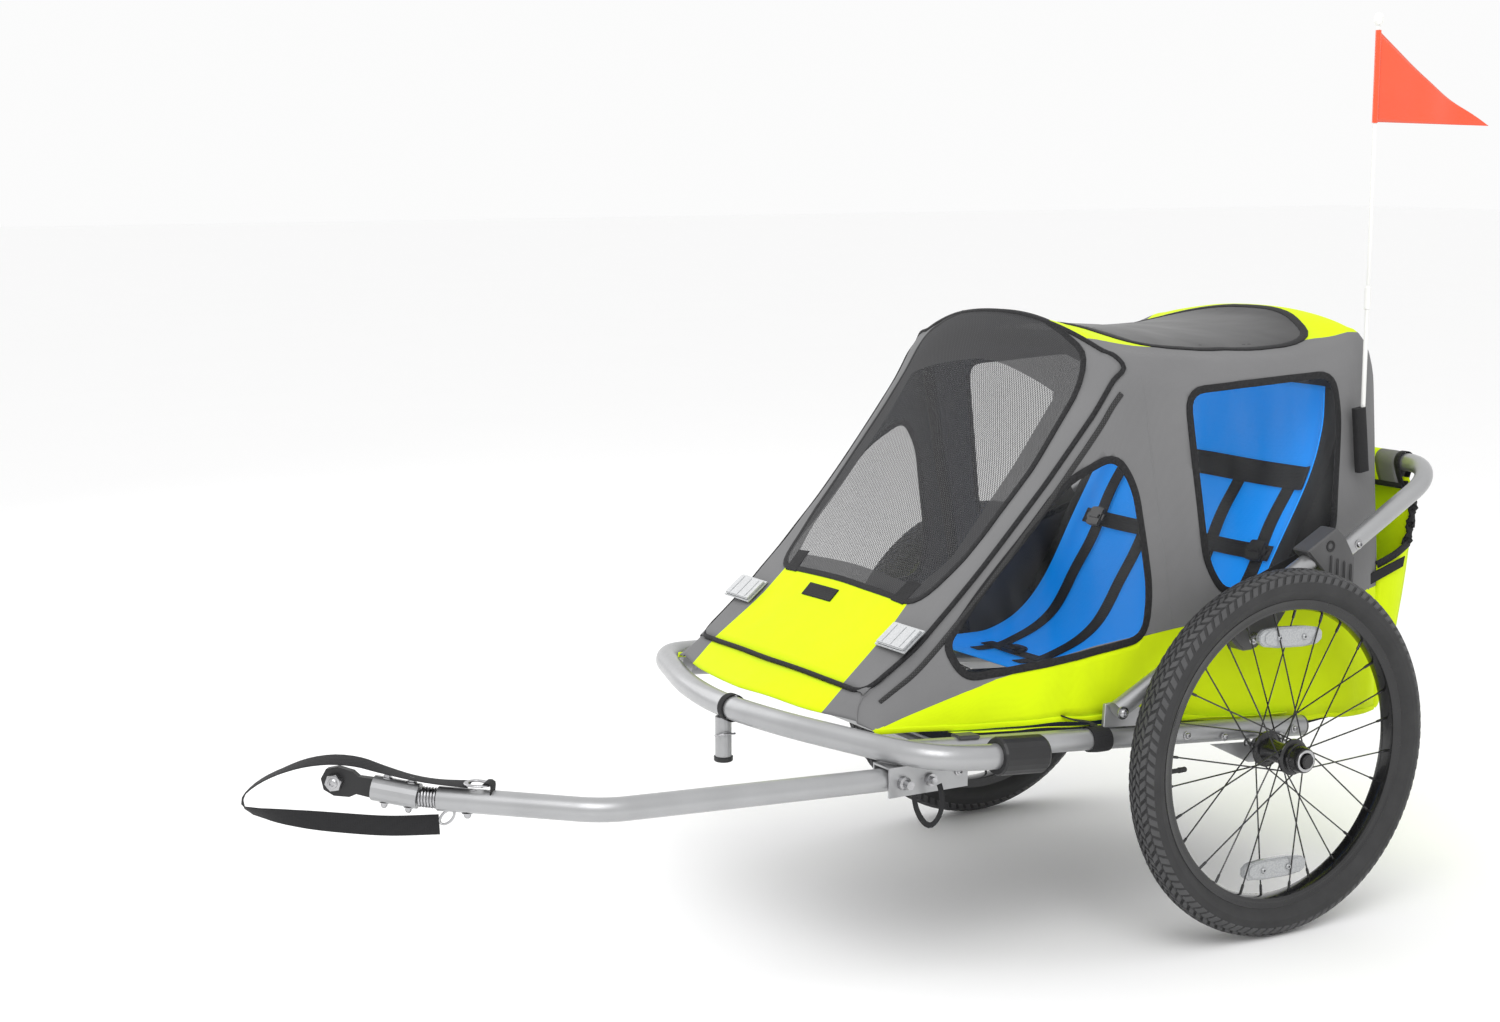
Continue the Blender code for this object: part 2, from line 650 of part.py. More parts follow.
def harness(name, centre):
    """Two shoulder straps and the cross strap between them, lying on the seat back."""
    outline = [(-0.062, 0.010), (-0.042, 0.010), (-0.042, 0.110), (0.042, 0.110),
               (0.042, 0.010), (0.062, 0.010), (0.062, 0.225), (0.042, 0.225),
               (0.042, 0.132), (-0.042, 0.132), (-0.042, 0.225), (-0.062, 0.225)]
    points = [on_seat_back(centre, across, rise, 0.0008) for across, rise in outline]
    thickness = on_seat_back(centre, 0, 0, 0.0024) - on_seat_back(centre, 0, 0, 0)
    return prism(name, points, thickness)


def buckle(name, centre):
    """The moulded buckle on the middle of the cross strap."""
    outline = [(-0.022, 0.104), (0.022, 0.104), (0.022, 0.139), (-0.022, 0.139)]
    points = [on_seat_back(centre, across, rise, 0.0036) for across, rise in outline]
    thickness = on_seat_back(centre, 0, 0, 0.0130) - on_seat_back(centre, 0, 0, 0)
    return prism(name, points, thickness, 0.0025)


# ---------------------------------------------------------------- handlebar and hoops
def make_rear_frame(root):
    """Two legs that turn on the rails, the clamps at their tops and the push bar they hold."""
    bar = pivot("rear_frame_axis", (0, *LEG_FOOT), root)
    start_y, start_z = HANDLE_START
    top_y, top_z = HANDLE_TOP
    corners = [(HANDLE_X, start_y, start_z), (HANDLE_X, top_y, top_z),
               (-HANDLE_X, top_y, top_z), (-HANDLE_X, start_y, start_z)]
    put(tube("handlebar", rounded(corners, 0.060, 8), HANDLE_D, 4), bar, "tube_paint")
    for side, sign in (("left", 1), ("right", -1)):
        foot = leg_point(sign, -0.014)
        put(tube(f"frame_leg_{side}", [foot, leg_point(sign, leg_length())], HANDLE_D, 4),
            bar, "tube_paint")
        put(leg_clamp(side, sign), bar, "plastic")
    pocket_x = 0.2605
    pocket = block("flag_pocket", (pocket_x - 0.0055, POLE_Y - 0.012, 0.6060),
                   (pocket_x + 0.0120, POLE_Y + 0.012, 0.6900), 0.001)
    hole = rod("pocket_hole", (POLE_X, POLE_Y, POLE_FOOT_Z - 0.001), (POLE_X, POLE_Y, 0.72),
               POLE_R + 0.0004, 12)
    put(combine(pocket, hole, "DIFFERENCE"), bar, "rubber")
    return bar


def leg_length():
    return math.dist(LEG_FOOT, LEG_END)


def leg_point(sign, distance):
    """A point on a leg's centre line, measured up from its pivot."""
    share = distance / leg_length()
    y = LEG_FOOT[0] + (LEG_END[0] - LEG_FOOT[0]) * share
    z = LEG_FOOT[1] + (LEG_END[1] - LEG_FOOT[1]) * share
    return (sign * HANDLE_X, y, z)


def leg_clamp(side, sign):
    """Moulded sleeve that joins the end of a leg, above, to the push bar, below and behind."""
    outline = [(0.063, 0.513), (0.116, 0.541), (0.133, 0.525), (0.150, 0.498), (0.150, 0.462),
               (0.106, 0.462), (0.094, 0.482)]
    wide = HANDLE_D + 2 * 0.0032
    x = sign * HANDLE_X - wide / 2
    clamp = side_plate(f"leg_clamp_{side}", outline, x, wide, 0.002)
    bore = HANDLE_D / 2 + 0.0008
    leg_bore = rod("leg_bore", leg_point(sign, 0.250), leg_point(sign, leg_length() + 0.002), bore, 24)
    clamp = combine(clamp, leg_bore, "DIFFERENCE")
    run = Vector((0, HANDLE_TOP[0] - HANDLE_START[0], HANDLE_TOP[1] - HANDLE_START[1])).normalized()
    start = Vector((sign * HANDLE_X, *HANDLE_START))
    bar_bore = rod("bar_bore", start - run * 0.002, start + run * 0.060, bore, 24)
    return combine(clamp, bar_bore, "DIFFERENCE")


def hoop(name, half_x, foot, top, crown, diameter):
    """A tube arch: two legs from its feet, rounded shoulders and a bowed crown."""
    lean = (top[0] - foot[0]) / (top[1] - foot[1])
    crown_y = top[0] + lean * crown
    corners = [(half_x, foot[0], foot[1]), (half_x - 0.006, top[0], top[1]),
               (half_x * 0.45, crown_y, top[1] + crown), (-half_x * 0.45, crown_y, top[1] + crown),
               (-half_x + 0.006, top[0], top[1]), (-half_x, foot[0], foot[1])]
    return tube(name, rounded(corners, 0.045, 5), diameter, 2)


def make_hoops(root, bar):
    front = pivot("front_hoop_axis", (0, *FRONT_HOOP_FOOT), root)
    arch = hoop("front_hoop", FRONT_HOOP_X, FRONT_HOOP_FOOT, FRONT_HOOP_TOP, 0.034, HOOP_D)
    put(arch, front, "tube_paint")
    rear = pivot("rear_hoop_axis", (0, *REAR_HOOP_FOOT), bar)
    arch = hoop("rear_hoop", REAR_HOOP_X, REAR_HOOP_FOOT, REAR_HOOP_TOP, 0.034, HOOP_D)
    put(arch, rear, "tube_paint")


# ---------------------------------------------------------------- rear bag
def make_bag(root):
    """Storage bag slung between the body's rear wall and the handlebar, open on top."""
    wall = 0.004
    front_y = 0.2675
    outer = [(front_y, 0.255), (0.280, 0.250), (0.318, 0.410), (0.340, 0.545), (0.333, 0.588),
             (front_y, 0.556)]
    inner = [(front_y + wall, 0.262), (0.277, 0.258), (0.314, 0.411), (0.336, 0.545),
             (0.330, 0.640), (front_y + wall, 0.640)]
    bag = side_plate("rear_bag", outer, -0.244, 0.488)
    space = side_plate("bag_space", inner, -0.240, 0.480)
    put(combine(bag, space, "DIFFERENCE"), root, "neon_cloth")


# ---------------------------------------------------------------- tow arm and hitch
def make_tow_arm(root):
    """The bent drawbar, the spring at its tip and the coupler that the spring lets turn."""
    arm = pivot("tow_arm_axis", (ARM_X, *ARM_PIVOT), root)
    slope = (ARM_BEND[2] - ARM_PIVOT[1]) / (ARM_PIVOT[0] - ARM_BEND[1])
    rear = (ARM_X, ARM_REAR_Y, ARM_PIVOT[1] + slope * (ARM_PIVOT[0] - ARM_REAR_Y))
    route = rounded([rear, ARM_BEND, ARM_END], 0.085, 8)
    put(tube("tow_arm", route, ARM_D, 4), arm, "tube_paint")
    yaw = pivot("coupler_axis", SPRING_END, arm)
    start, stop = Vector(ARM_END), Vector(SPRING_END)
    axis = (stop - start).normalized() * COUPLER_GAP
    put(rod("flex_spring", start + axis, stop - axis, 0.0105, 14), arm, "zinc")
    nose = Vector(SLEEVE_END)
    run = (nose - stop).normalized()
    put(rod("coupler_sleeve", stop + run * COUPLER_GAP, nose, 0.0150, 16), yaw, "tube_paint")
    make_hitch_head(yaw, nose + run * GAP * 2, run)
    return arm


def make_hitch_head(yaw, start, run):
    """The flat tongue with its eye and nut that clamps on the bicycle's axle."""
    across = run.cross(Vector((0, 0, 1))).normalized()
    rise = across.cross(run).normalized()
    tip = (Vector(HITCH_EYE) - start).length
    half = 0.0045
    outline = []
    for along, up in ((0, -0.0115), (0.018, -0.0105), (0.026, -0.0155), (tip, -0.0175),
                      (tip + 0.013, -0.0125), (tip + 0.0178, 0), (tip + 0.013, 0.0125),
                      (tip, 0.0175), (0.026, 0.0155), (0.018, 0.0105), (0, 0.0115)):
        outline.append(start + run * along + rise * up - across * half)
    tongue = prism("hitch_tongue", outline, across * 2 * half)
    eye = Vector(start + run * tip)
    bore = rod("eye_bore", eye - across * 0.02, eye + across * 0.02, 0.0062, 16)
    put(combine(tongue, bore, "DIFFERENCE"), yaw, "plastic")
    nut_start = eye - across * (half + GAP)
    put(rod("hitch_nut", nut_start, nut_start - across * 0.008, 0.0105, 6), yaw, "zinc")


def make_pins(root):
    """The arm's pivot bolt and, in front of it, the quick-release pin that holds the arm."""
    x = ARM_X + BRACKET_SIDE + BRACKET_WALL + GAP
    bolt_at = (x, ARM_PIVOT[0], ARM_PIVOT[1])
    bolt = [(0, 0), (0, 0.0080), (0.0050, 0.0080), (0.0050, 0.0045), (0.0100, 0.0045), (0.0100, 0)]
    put(turned("hitch_bolt", bolt, bolt_at, (1, 0, 0), 12), root, "zinc")
    pin_at = (x, -0.583, ARM_PIVOT[1] + 0.0010)
    pin = pivot("hitch_pin_axis", pin_at, root)
    head = [(0, 0), (0, 0.0085), (0.0060, 0.0085), (0.0075, 0.0055), (0.0170, 0.0055),
            (0.0170, 0)]
    put(turned("hitch_pin", head, pin_at, (1, 0, 0), 12), pin, "zinc")


# ---------------------------------------------------------------- flag
def make_flag(bar):
    """Two-piece whip: the lower half carries the ferrule, the upper half the ball and flag."""
    pole = pivot("flag_pole_axis", (POLE_X, POLE_Y, POLE_FOOT_Z), bar)
    low = POLE_JOIN_Z - 0.016 - POLE_FOOT_Z
    lower = [(0, 0), (0, POLE_R), (low, POLE_R), (low + 0.001, 0.0046), (low + 0.030, 0.0046),
             (low + 0.032, 0.0036), (low + 0.032, 0)]
    foot = (POLE_X, POLE_Y, POLE_FOOT_Z)
    put(turned("flag_pole_lower", lower, foot, (0, 0, 1), 12), pole, "white_pole")
    upper_z = POLE_JOIN_Z + 0.0160 + 2 * GAP
    top = pivot("flag_upper_axis", (POLE_X, POLE_Y, upper_z), pole)
    tall = POLE_TOP_Z - upper_z
    upper = [(0, 0), (0, 0.0026), (tall, 0.0026), (tall, 0.0050), (tall + 0.0040, 0.0064),
             (tall + 0.0100, 0.0066), (tall + 0.0150, 0.0045), (tall + 0.0170, 0)]
    pole_at = (POLE_X, POLE_Y, upper_z)
    put(turned("flag_pole_upper", upper, pole_at, (0, 0, 1), 12), top, "white_pole")
    flag = [(POLE_Y + 0.0032, 1.083), (POLE_Y + 0.120, 1.080), (0.423, 1.078),
            (POLE_Y + 0.110, 1.153), (POLE_Y + 0.0032, 1.203)]
    put(side_plate("flag", flag, POLE_X - 0.0006, 0.0012), top, "flag_vinyl")


# ---------------------------------------------------------------- loose webbing
SAFETY_STRAP = [(0.190, -1.103, 0.3255), (0.165, -1.134, 0.3270), (0.145, -1.158, 0.3310),
                (0.122, -1.185, 0.3390), (0.105, -1.206, 0.3460), (0.085, -1.230, 0.3475),
                (0.064, -1.255, 0.3420), (0.045, -1.278, 0.3310), (0.028, -1.299, 0.3170),
                (0.016, -1.314, 0.3000), (0.016, -1.314, 0.2850), (0.030, -1.297, 0.2790),
                (0.056, -1.266, 0.2750), (0.092, -1.221, 0.2720), (0.128, -1.178, 0.2715),
                (0.166, -1.132, 0.2760)]
LANYARD = [(0.328, -0.543, 0.2800), (0.330, -0.541, 0.2700), (0.329, -0.539, 0.2540),
           (0.328, -0.543, 0.2390), (0.328, -0.553, 0.2300), (0.329, -0.563, 0.2330),
           (0.331, -0.573, 0.2440), (0.332, -0.580, 0.2580), (0.332, -0.583, 0.2720)]


def make_webbing(root, arm):
    put(tube("safety_strap", smooth_route(SAFETY_STRAP, 0.012), 0.0050, 2), arm, "webbing")
    put(tube("pin_lanyard", smooth_route(LANYARD, 0.008), 0.0030, 2), root, "webbing")


def main():
    clear_scene()
    trailer = empty("trailer_origin", (0, AXLE_Y, 0))
    make_base(trailer)
    make_hitch_bracket(trailer)
    make_front_socket(trailer)
    for side, sign in (("left", 1), ("right", -1)):
        make_wheel(side, sign, trailer)
    make_fabric_body(trailer)
    make_front_cover(trailer)
    make_floor(trailer)
    make_seat(trailer)
    bar = make_rear_frame(trailer)
    make_hoops(trailer, bar)
    make_bag(trailer)
    arm = make_tow_arm(trailer)
    make_pins(trailer)
    make_flag(bar)
    make_webbing(trailer, arm)


main()
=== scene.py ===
"""The looks of a child bicycle trailer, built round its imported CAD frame.

Shapes are written in the trailer's own axes, in metres: +X is its left, -Y is forward, +Z is up,
the ground is z = 0 and the wheel axle lies on y = 0.  place() moves them into the row frame.
"""

import math

import bmesh
import bpy
from mathutils import Matrix, Vector, noise
from mathutils.bvhtree import BVHTree


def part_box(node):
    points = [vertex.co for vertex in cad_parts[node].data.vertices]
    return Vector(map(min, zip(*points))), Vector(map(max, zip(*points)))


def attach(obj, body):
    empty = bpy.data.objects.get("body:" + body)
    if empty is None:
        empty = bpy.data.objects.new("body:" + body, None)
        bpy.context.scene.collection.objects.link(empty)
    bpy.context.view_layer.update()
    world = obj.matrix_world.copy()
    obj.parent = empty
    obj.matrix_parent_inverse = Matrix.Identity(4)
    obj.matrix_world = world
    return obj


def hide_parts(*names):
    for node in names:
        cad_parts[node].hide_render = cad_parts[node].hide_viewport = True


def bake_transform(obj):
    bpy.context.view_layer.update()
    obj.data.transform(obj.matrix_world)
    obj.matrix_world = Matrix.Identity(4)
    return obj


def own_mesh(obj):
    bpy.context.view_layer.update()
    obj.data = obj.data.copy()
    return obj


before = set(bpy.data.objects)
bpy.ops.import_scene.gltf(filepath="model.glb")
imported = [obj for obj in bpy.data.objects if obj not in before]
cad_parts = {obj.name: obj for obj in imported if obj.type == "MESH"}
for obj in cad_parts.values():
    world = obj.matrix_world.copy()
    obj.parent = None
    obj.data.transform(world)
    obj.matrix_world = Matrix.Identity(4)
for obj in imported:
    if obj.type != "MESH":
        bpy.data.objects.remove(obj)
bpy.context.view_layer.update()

TYRE_LOW, TYRE_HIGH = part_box("tyre_left")
AXLE_Y = (TYRE_LOW.y + TYRE_HIGH.y) / 2
WHEEL_R = (TYRE_HIGH.z - TYRE_LOW.z) / 2
WHEEL_X = (TYRE_LOW.x + TYRE_HIGH.x) / 2
TYRE_HALF_W = (TYRE_HIGH.x - TYRE_LOW.x) / 2

# ---------------------------------------------------------------- sizes shared with the CAD
BODY_X = 0.262
RAIL_X = 0.280
RAIL_R = 0.0143
RAIL_Z = 0.2694
SLOPE = 0.0765
BUMPER_R = 0.0159
BUMPER_Z = 0.275
RAIL_FRONT_Y = -0.560
HANDLE_R = 0.0127
HANDLE_X = 0.3005
HANDLE_TOP = (0.324, 0.6075)
HANDLE_START = (0.128, 0.4967)
LEG_FOOT = (-0.246, 0.329)
LEG_END = (0.100, 0.5058)
ARM_R = 0.0143
ARM_BEND = (0.290, -0.982, 0.301)
ARM_REAR_Y = -0.535
ARM_END = (0.166, -1.132, 0.307)
SPRING_END = (0.153, -1.149, 0.3085)
SLEEVE_END = (0.117, -1.192, 0.3165)
ARM_PIVOT = (-0.543, 0.2815)
POLE_X = 0.266
POLE_Y = 0.204
SEAT_X = 0.222

SAFETY_STRAP = [(0.190, -1.103, 0.3255), (0.165, -1.134, 0.3270), (0.145, -1.158, 0.3310),
                (0.122, -1.185, 0.3390), (0.105, -1.206, 0.3460), (0.085, -1.230, 0.3475),
                (0.064, -1.255, 0.3420), (0.045, -1.278, 0.3310), (0.028, -1.299, 0.3170),
                (0.016, -1.314, 0.3000), (0.016, -1.314, 0.2850), (0.030, -1.297, 0.2790),
                (0.056, -1.266, 0.2750), (0.092, -1.221, 0.2720), (0.128, -1.178, 0.2715),
                (0.166, -1.132, 0.2760)]
LANYARD = [(0.328, -0.543, 0.2800), (0.330, -0.541, 0.2700), (0.329, -0.539, 0.2540),
           (0.328, -0.543, 0.2390), (0.328, -0.553, 0.2300), (0.329, -0.563, 0.2330),
           (0.331, -0.573, 0.2440), (0.332, -0.580, 0.2580), (0.332, -0.583, 0.2720)]
STRAP_WIDTH = 0.024
LANYARD_WIDTH = 0.0075

# Half cross-sections of the cloth cabin from front to rear: y, bow, bottom z, bottom half
# width, shoulder half width, shoulder z, crown z, shoulder radius.
STATIONS = [
    (-0.588, 0.048, 0.3340, 0.255, 0.226, 0.342, 0.346, 0.003),
    (-0.574, 0.010, 0.3330, 0.257, 0.208, 0.372, 0.376, 0.006),
    (-0.500, 0.004, 0.3280, 0.260, 0.216, 0.431, 0.438, 0.012),
    (-0.410, 0.003, 0.3230, BODY_X, 0.222, 0.520, 0.531, 0.016),
    (-0.310, 0.006, 0.3160, BODY_X, 0.229, 0.631, 0.649, 0.022),
    (-0.236, 0.014, 0.3105, BODY_X, 0.235, 0.722, 0.756, 0.030),
    (-0.190, 0.030, 0.3060, BODY_X, 0.240, 0.784, 0.824, 0.040),
    (-0.120, 0.018, 0.2970, BODY_X, 0.248, 0.777, 0.806, 0.046),
    (0.000, 0.000, 0.2800, BODY_X, 0.251, 0.770, 0.797, 0.048),
    (0.120, -0.004, 0.2630, BODY_X, 0.252, 0.770, 0.797, 0.048),
    (0.190, -0.012, 0.2610, 0.261, 0.249, 0.783, 0.808, 0.046),
    (0.236, -0.016, 0.2600, 0.258, 0.240, 0.798, 0.822, 0.050),
    (0.262, -0.016, 0.2600, 0.250, 0.222, 0.772, 0.790, 0.055),
]
COVER_FIRST = 1
COVER_LAST = 6
ROWS_PER_STATION = 6
SIDE_STEPS = 20
ARC_STEPS = 6
CROWN_STEPS = 14
COVER_ARC = 2                 # the cover's edge lies this many steps up the shoulder's arc
CLOTH_T = 0.0012
ZIP_GAP = 0.026               # from the cover's edge down to the side zip
COVER_OFF = 0.0022            # the cover lies this far off the cabin's own surface

FRONT_WINDOW = [(-0.212, 0.655), (-0.285, 0.622), (-0.470, 0.425), (-0.452, 0.386),
                (-0.300, 0.394), (-0.168, 0.410), (-0.160, 0.470), (-0.182, 0.610)]
REAR_WINDOW = [(-0.098, 0.732), (0.160, 0.742), (0.172, 0.690), (0.166, 0.515),
               (-0.030, 0.452), (-0.066, 0.500)]
SUNROOF = [(-0.128, -0.172), (0.178, -0.190), (0.236, -0.070), (0.236, 0.070),
           (0.178, 0.190), (-0.128, 0.172)]
SCREEN = [(-0.470, -0.168), (-0.400, -0.192), (-0.300, -0.199), (-0.214, -0.194),
          (-0.214, 0.194), (-0.300, 0.199), (-0.400, 0.192), (-0.470, 0.168)]
CORNER_R = 0.03

# Where the lower neon cloth meets the grey, along each side: y, z.
SIDE_LINE = [(-0.600, 0.334), (-0.407, 0.382), (-0.247, 0.406), (-0.112, 0.419),
             (0.091, 0.430), (0.300, 0.438)]
# Half width of the roof's neon cloth: y, x.
ROOF_LINE = [(-0.260, 0.150), (-0.120, 0.176), (0.178, 0.186), (0.236, 0.212), (0.300, 0.224)]

# ---------------------------------------------------------------- colours
SILVER = (0.375, 0.378, 0.385, 1)
BRIGHT = (0.44, 0.44, 0.45, 1)
DARK_GREY = (0.085, 0.085, 0.087, 1)
TYRE_BLACK = (0.030, 0.030, 0.031, 1)
BLACK = (0.010, 0.010, 0.011, 1)
NEON = (0.66, 0.84, 0.0, 1)
GREY = (0.175, 0.175, 0.178, 1)
BLUE = (0.0, 0.290, 0.95, 1)
CHARCOAL = (0.015, 0.015, 0.016, 1)
ORANGE = (0.80, 0.070, 0.010, 1)
WHITE = (0.80, 0.80, 0.78, 1)
CLEAR = (0.80, 0.82, 0.84, 1)
SMOKE = (0.018, 0.018, 0.019, 1)
PALE = (0.98, 0.98, 0.98, 1)
SOOT = (0.014, 0.014, 0.015, 1)
LENS = (0.36, 0.37, 0.38, 1)
NET_WIDTH = 0.0042            # one hole of the screen's netting
NET_HEIGHT = 0.0050
MIX_SOCKETS = (0, 6, 7)       # a colour mix node's factor and its two colours
MIX_RESULT = 2

SIDES = (("left", 1), ("right", -1))
SQUARE = ((-1, -1), (1, -1), (1, 1), (-1, 1))
SPOKES = 28
CAMERA_AT = (2.5737, -2.1215, 1.0462)
CAMERA_AZIMUTH = 59.73
CAMERA_ELEVATION = 8.90
LENS_MM = 55.38
SENSOR_MM = 36.0

soft_pieces = []              # the cloth pieces whose modifiers are baked and meshes copied at the end


def place(p):
    """A point of the trailer's axes in the row frame."""
    return Vector((p[0], p[1] + AXLE_Y, p[2]))


# ---------------------------------------------------------------- material building
class Look:
    """A Principled material being built, with short ways to add and join its nodes."""

    def __init__(self, name, colour, roughness, metallic=0.0):
        self.material = bpy.data.materials.new(name)
        self.material.use_nodes = True
        self.tree = self.material.node_tree
        self.shader = self.tree.nodes["Principled BSDF"]
        self.set("Base Color", colour)
        self.set("Roughness", roughness)
        self.set("Metallic", metallic)
        self.coords = self.tree.nodes.new("ShaderNodeTexCoord").outputs["Object"]

    def set(self, socket, value):
        self.shader.inputs[socket].default_value = value
        return self

    def feed(self, socket, value):
        """Joins another node's output to a socket, or sets the socket's own value."""
        if hasattr(value, "is_linked"):
            self.tree.links.new(value, socket)
        else:
            socket.default_value = value

    def node(self, kind, settings=None, **inputs):
        made = self.tree.nodes.new(kind)
        for key, value in (settings or {}).items():
            setattr(made, key, value)
        for key, value in inputs.items():
            self.feed(made.inputs[key.replace("_", " ")], value)
        return made

    def math(self, operation, first, second=0.0):
        made = self.node("ShaderNodeMath", {"operation": operation})
        for socket, value in zip(made.inputs, (first, second)):
            self.feed(socket, value)
        return made.outputs[0]

    def stretched(self, scale):
        made = self.node("ShaderNodeMapping", Vector=self.coords)
        made.inputs["Scale"].default_value = scale
        return made.outputs[0]

    def noise(self, scale, detail=3.0, coords=None):
        made = self.node("ShaderNodeTexNoise", Vector=coords or self.coords)
        made.inputs["Scale"].default_value = scale
        made.inputs["Detail"].default_value = detail
        return made.outputs["Fac"]

    def waves(self, axis, pitch):
        """Bands across one axis, one for each pitch, as threads or ribs lie."""
        made = self.node("ShaderNodeTexWave", {"bands_direction": axis}, Vector=self.coords)
        made.inputs["Scale"].default_value = math.pi / (10 * pitch)
        return made.outputs["Fac"]

    def spread(self, value, low, high, start=0.25, stop=0.75):
        """Carries the range from start to stop over to the range from low to high."""
        made = self.node("ShaderNodeMapRange", Value=value, From_Min=start, From_Max=stop,
                         To_Min=low, To_Max=high)
        return made.outputs["Result"]

    def attribute(self, name):
        made = self.node("ShaderNodeAttribute")
        made.attribute_name = name
        return made.outputs["Fac"]

    def mix(self, factor, first, second):
        made = self.node("ShaderNodeMix", {"data_type": "RGBA"})
        for socket, value in zip(MIX_SOCKETS, (factor, first, second)):
            self.feed(made.inputs[socket], value)
        return made.outputs[MIX_RESULT]

    def shade(self, colour, factor):
        """A colour made lighter or darker by a factor near 1."""
        made = self.node("ShaderNodeVectorMath", {"operation": "SCALE"})
        self.feed(made.inputs[0], colour if hasattr(colour, "is_linked") else colour[:3])
        self.feed(made.inputs["Scale"], factor)
        return made.outputs[0]

    def drive(self, socket, value):
        self.tree.links.new(value, self.shader.inputs[socket])
        return self

    def bump(self, height, strength, distance):
        made = self.node("ShaderNodeBump", Height=height)
        made.inputs["Strength"].default_value = strength
        made.inputs["Distance"].default_value = distance
        previous = self.shader.inputs["Normal"]
        if previous.is_linked:
            self.tree.links.new(previous.links[0].from_socket, made.inputs["Normal"])
        self.tree.links.new(made.outputs[0], previous)
        return self


def cloth(name, colour, second=None, pitch=0.0011, soft=0.82, passes=0.0):
    """Woven polyester; it is the second colour where the piece's panel value is above zero.

    passes is a faint glow that stands for light coming through from behind.
    """
    look = Look(name, colour, soft)
    look.set("Sheen Weight", 0.05).set("Sheen Roughness", 0.5).set("Specular IOR Level", 0.20)
    look.set("Emission Color", colour).set("Emission Strength", passes)
    base = look.shade(colour, look.spread(look.noise(7.0, 5.0), 0.93, 1.05))
    if second:
        other = look.shade(second, look.spread(look.noise(7.0, 5.0), 0.94, 1.04))
        inside = look.math("GREATER_THAN", look.attribute("panel"), 0.0)
        base = look.mix(inside, base, other)
    thread = look.math("MULTIPLY", look.waves("X", pitch), look.waves("Y", pitch))
    thread = look.math("ADD", thread, look.waves("Z", pitch))
    base = look.shade(base, look.spread(thread, 0.975, 1.02))
    look.drive("Base Color", base)
    look.bump(thread, 0.22, 0.0003)
    look.bump(look.noise(11.0, 2.0, look.stretched((0.7, 1.0, 0.55))), 0.60, 0.008)
    look.bump(look.noise(46.0, 3.0), 0.28, 0.0018)
    return look.material


def webbing():
    """Black ribbed strapping."""
    look = Look("webbing", CHARCOAL, 0.78)
    look.set("Sheen Weight", 0.04).set("Specular IOR Level", 0.2)
    ribs = look.math("ADD", look.waves("X", 0.0017), look.waves("Z", 0.0019))
    ribs = look.math("ADD", ribs, look.waves("Y", 0.0023))
    look.drive("Base Color", look.shade(CHARCOAL, look.spread(ribs, 0.80, 1.30)))
    look.bump(ribs, 0.35, 0.0005)
    look.bump(look.noise(60.0), 0.15, 0.001)
    return look.material


def binding():
    """Folded edge tape with a row of stitches."""
    look = Look("binding", BLACK, 0.70)
    look.set("Sheen Weight", 0.03).set("Specular IOR Level", 0.2)
    stitch = look.noise(420.0, 1.0)
    look.drive("Base Color", look.shade(SOOT, look.spread(stitch, 0.6, 1.9)))
    look.bump(stitch, 0.40, 0.0006)
    return look.material


def zip_tape():
    """Coil zip: fine cross ribs between two tapes."""
    look = Look("zip_tape", BLACK, 0.45)
    teeth = look.math("MULTIPLY", look.waves("Z", 0.0030), look.waves("Y", 0.0030))
    look.drive("Base Color", look.shade((0.020, 0.020, 0.021, 1), look.spread(teeth, 0.5, 2.2)))
    look.bump(teeth, 0.60, 0.0010)
    return look.material


def screen_mesh():
    """Open netting; nearly closed in the hem, where the piece's panel value is above zero."""
    look = Look("screen_mesh", (0.034, 0.034, 0.036, 1), 0.75)
    parts = look.node("ShaderNodeSeparateXYZ", Vector=look.coords).outputs
    u = look.math("MULTIPLY", parts["X"], 2 * math.pi / NET_WIDTH)
    v = look.math("MULTIPLY", parts["Z"], 2 * math.pi / NET_HEIGHT)
    diagonal = look.math("COSINE", look.math("ADD", u, v))
    other = look.math("COSINE", look.math("SUBTRACT", u, v))
    net = look.math("ADD", diagonal, other)
    threads = look.spread(net, 0.94, 0.46, -0.9, 0.6)
    hem = look.spread(look.attribute("panel"), 0.0, 0.93, -0.0005, 0.0005)
    look.drive("Alpha", look.math("MAXIMUM", threads, hem))
    look.bump(net, 0.4, 0.0008)
    return look.material


def vinyl(name, colour, low, high, roughness=0.12):
    """Clear film with soft streaks where it is creased; low and high bound how much it hides."""
    look = Look(name, colour, roughness)
    look.set("Specular IOR Level", 0.30)
    streak = look.noise(6.0, 4.0, look.stretched((1.0, 2.4, 0.7)))
    look.drive("Alpha", look.spread(streak, low, high))
    look.bump(look.noise(9.0, 2.0), 0.35, 0.006)
    look.bump(look.noise(38.0, 2.0), 0.08, 0.002)
    return look.material


def painted_tube():
    """Silver powder coat: a fine pebble over the metal."""
    look = Look("tube_paint", SILVER, 0.34, 0.62)
    look.set("Coat Weight", 0.25).set("Coat Roughness", 0.18)
    look.drive("Base Color", look.shade(SILVER, look.spread(look.noise(16.0, 4.0), 0.93, 1.06)))
    look.drive("Roughness", look.spread(look.noise(240.0, 2.0), 0.30, 0.42))
    look.bump(look.noise(900.0, 2.0), 0.10, 0.0003)
    return look.material


def zinc():
    look = Look("zinc", BRIGHT, 0.26, 1.0)
    look.drive("Base Color", look.shade(BRIGHT, look.spread(look.noise(70.0, 4.0), 0.82, 1.10)))
    look.drive("Roughness", look.spread(look.noise(160.0, 3.0), 0.18, 0.38))
    look.bump(look.noise(300.0, 2.0), 0.12, 0.0004)
    return look.material


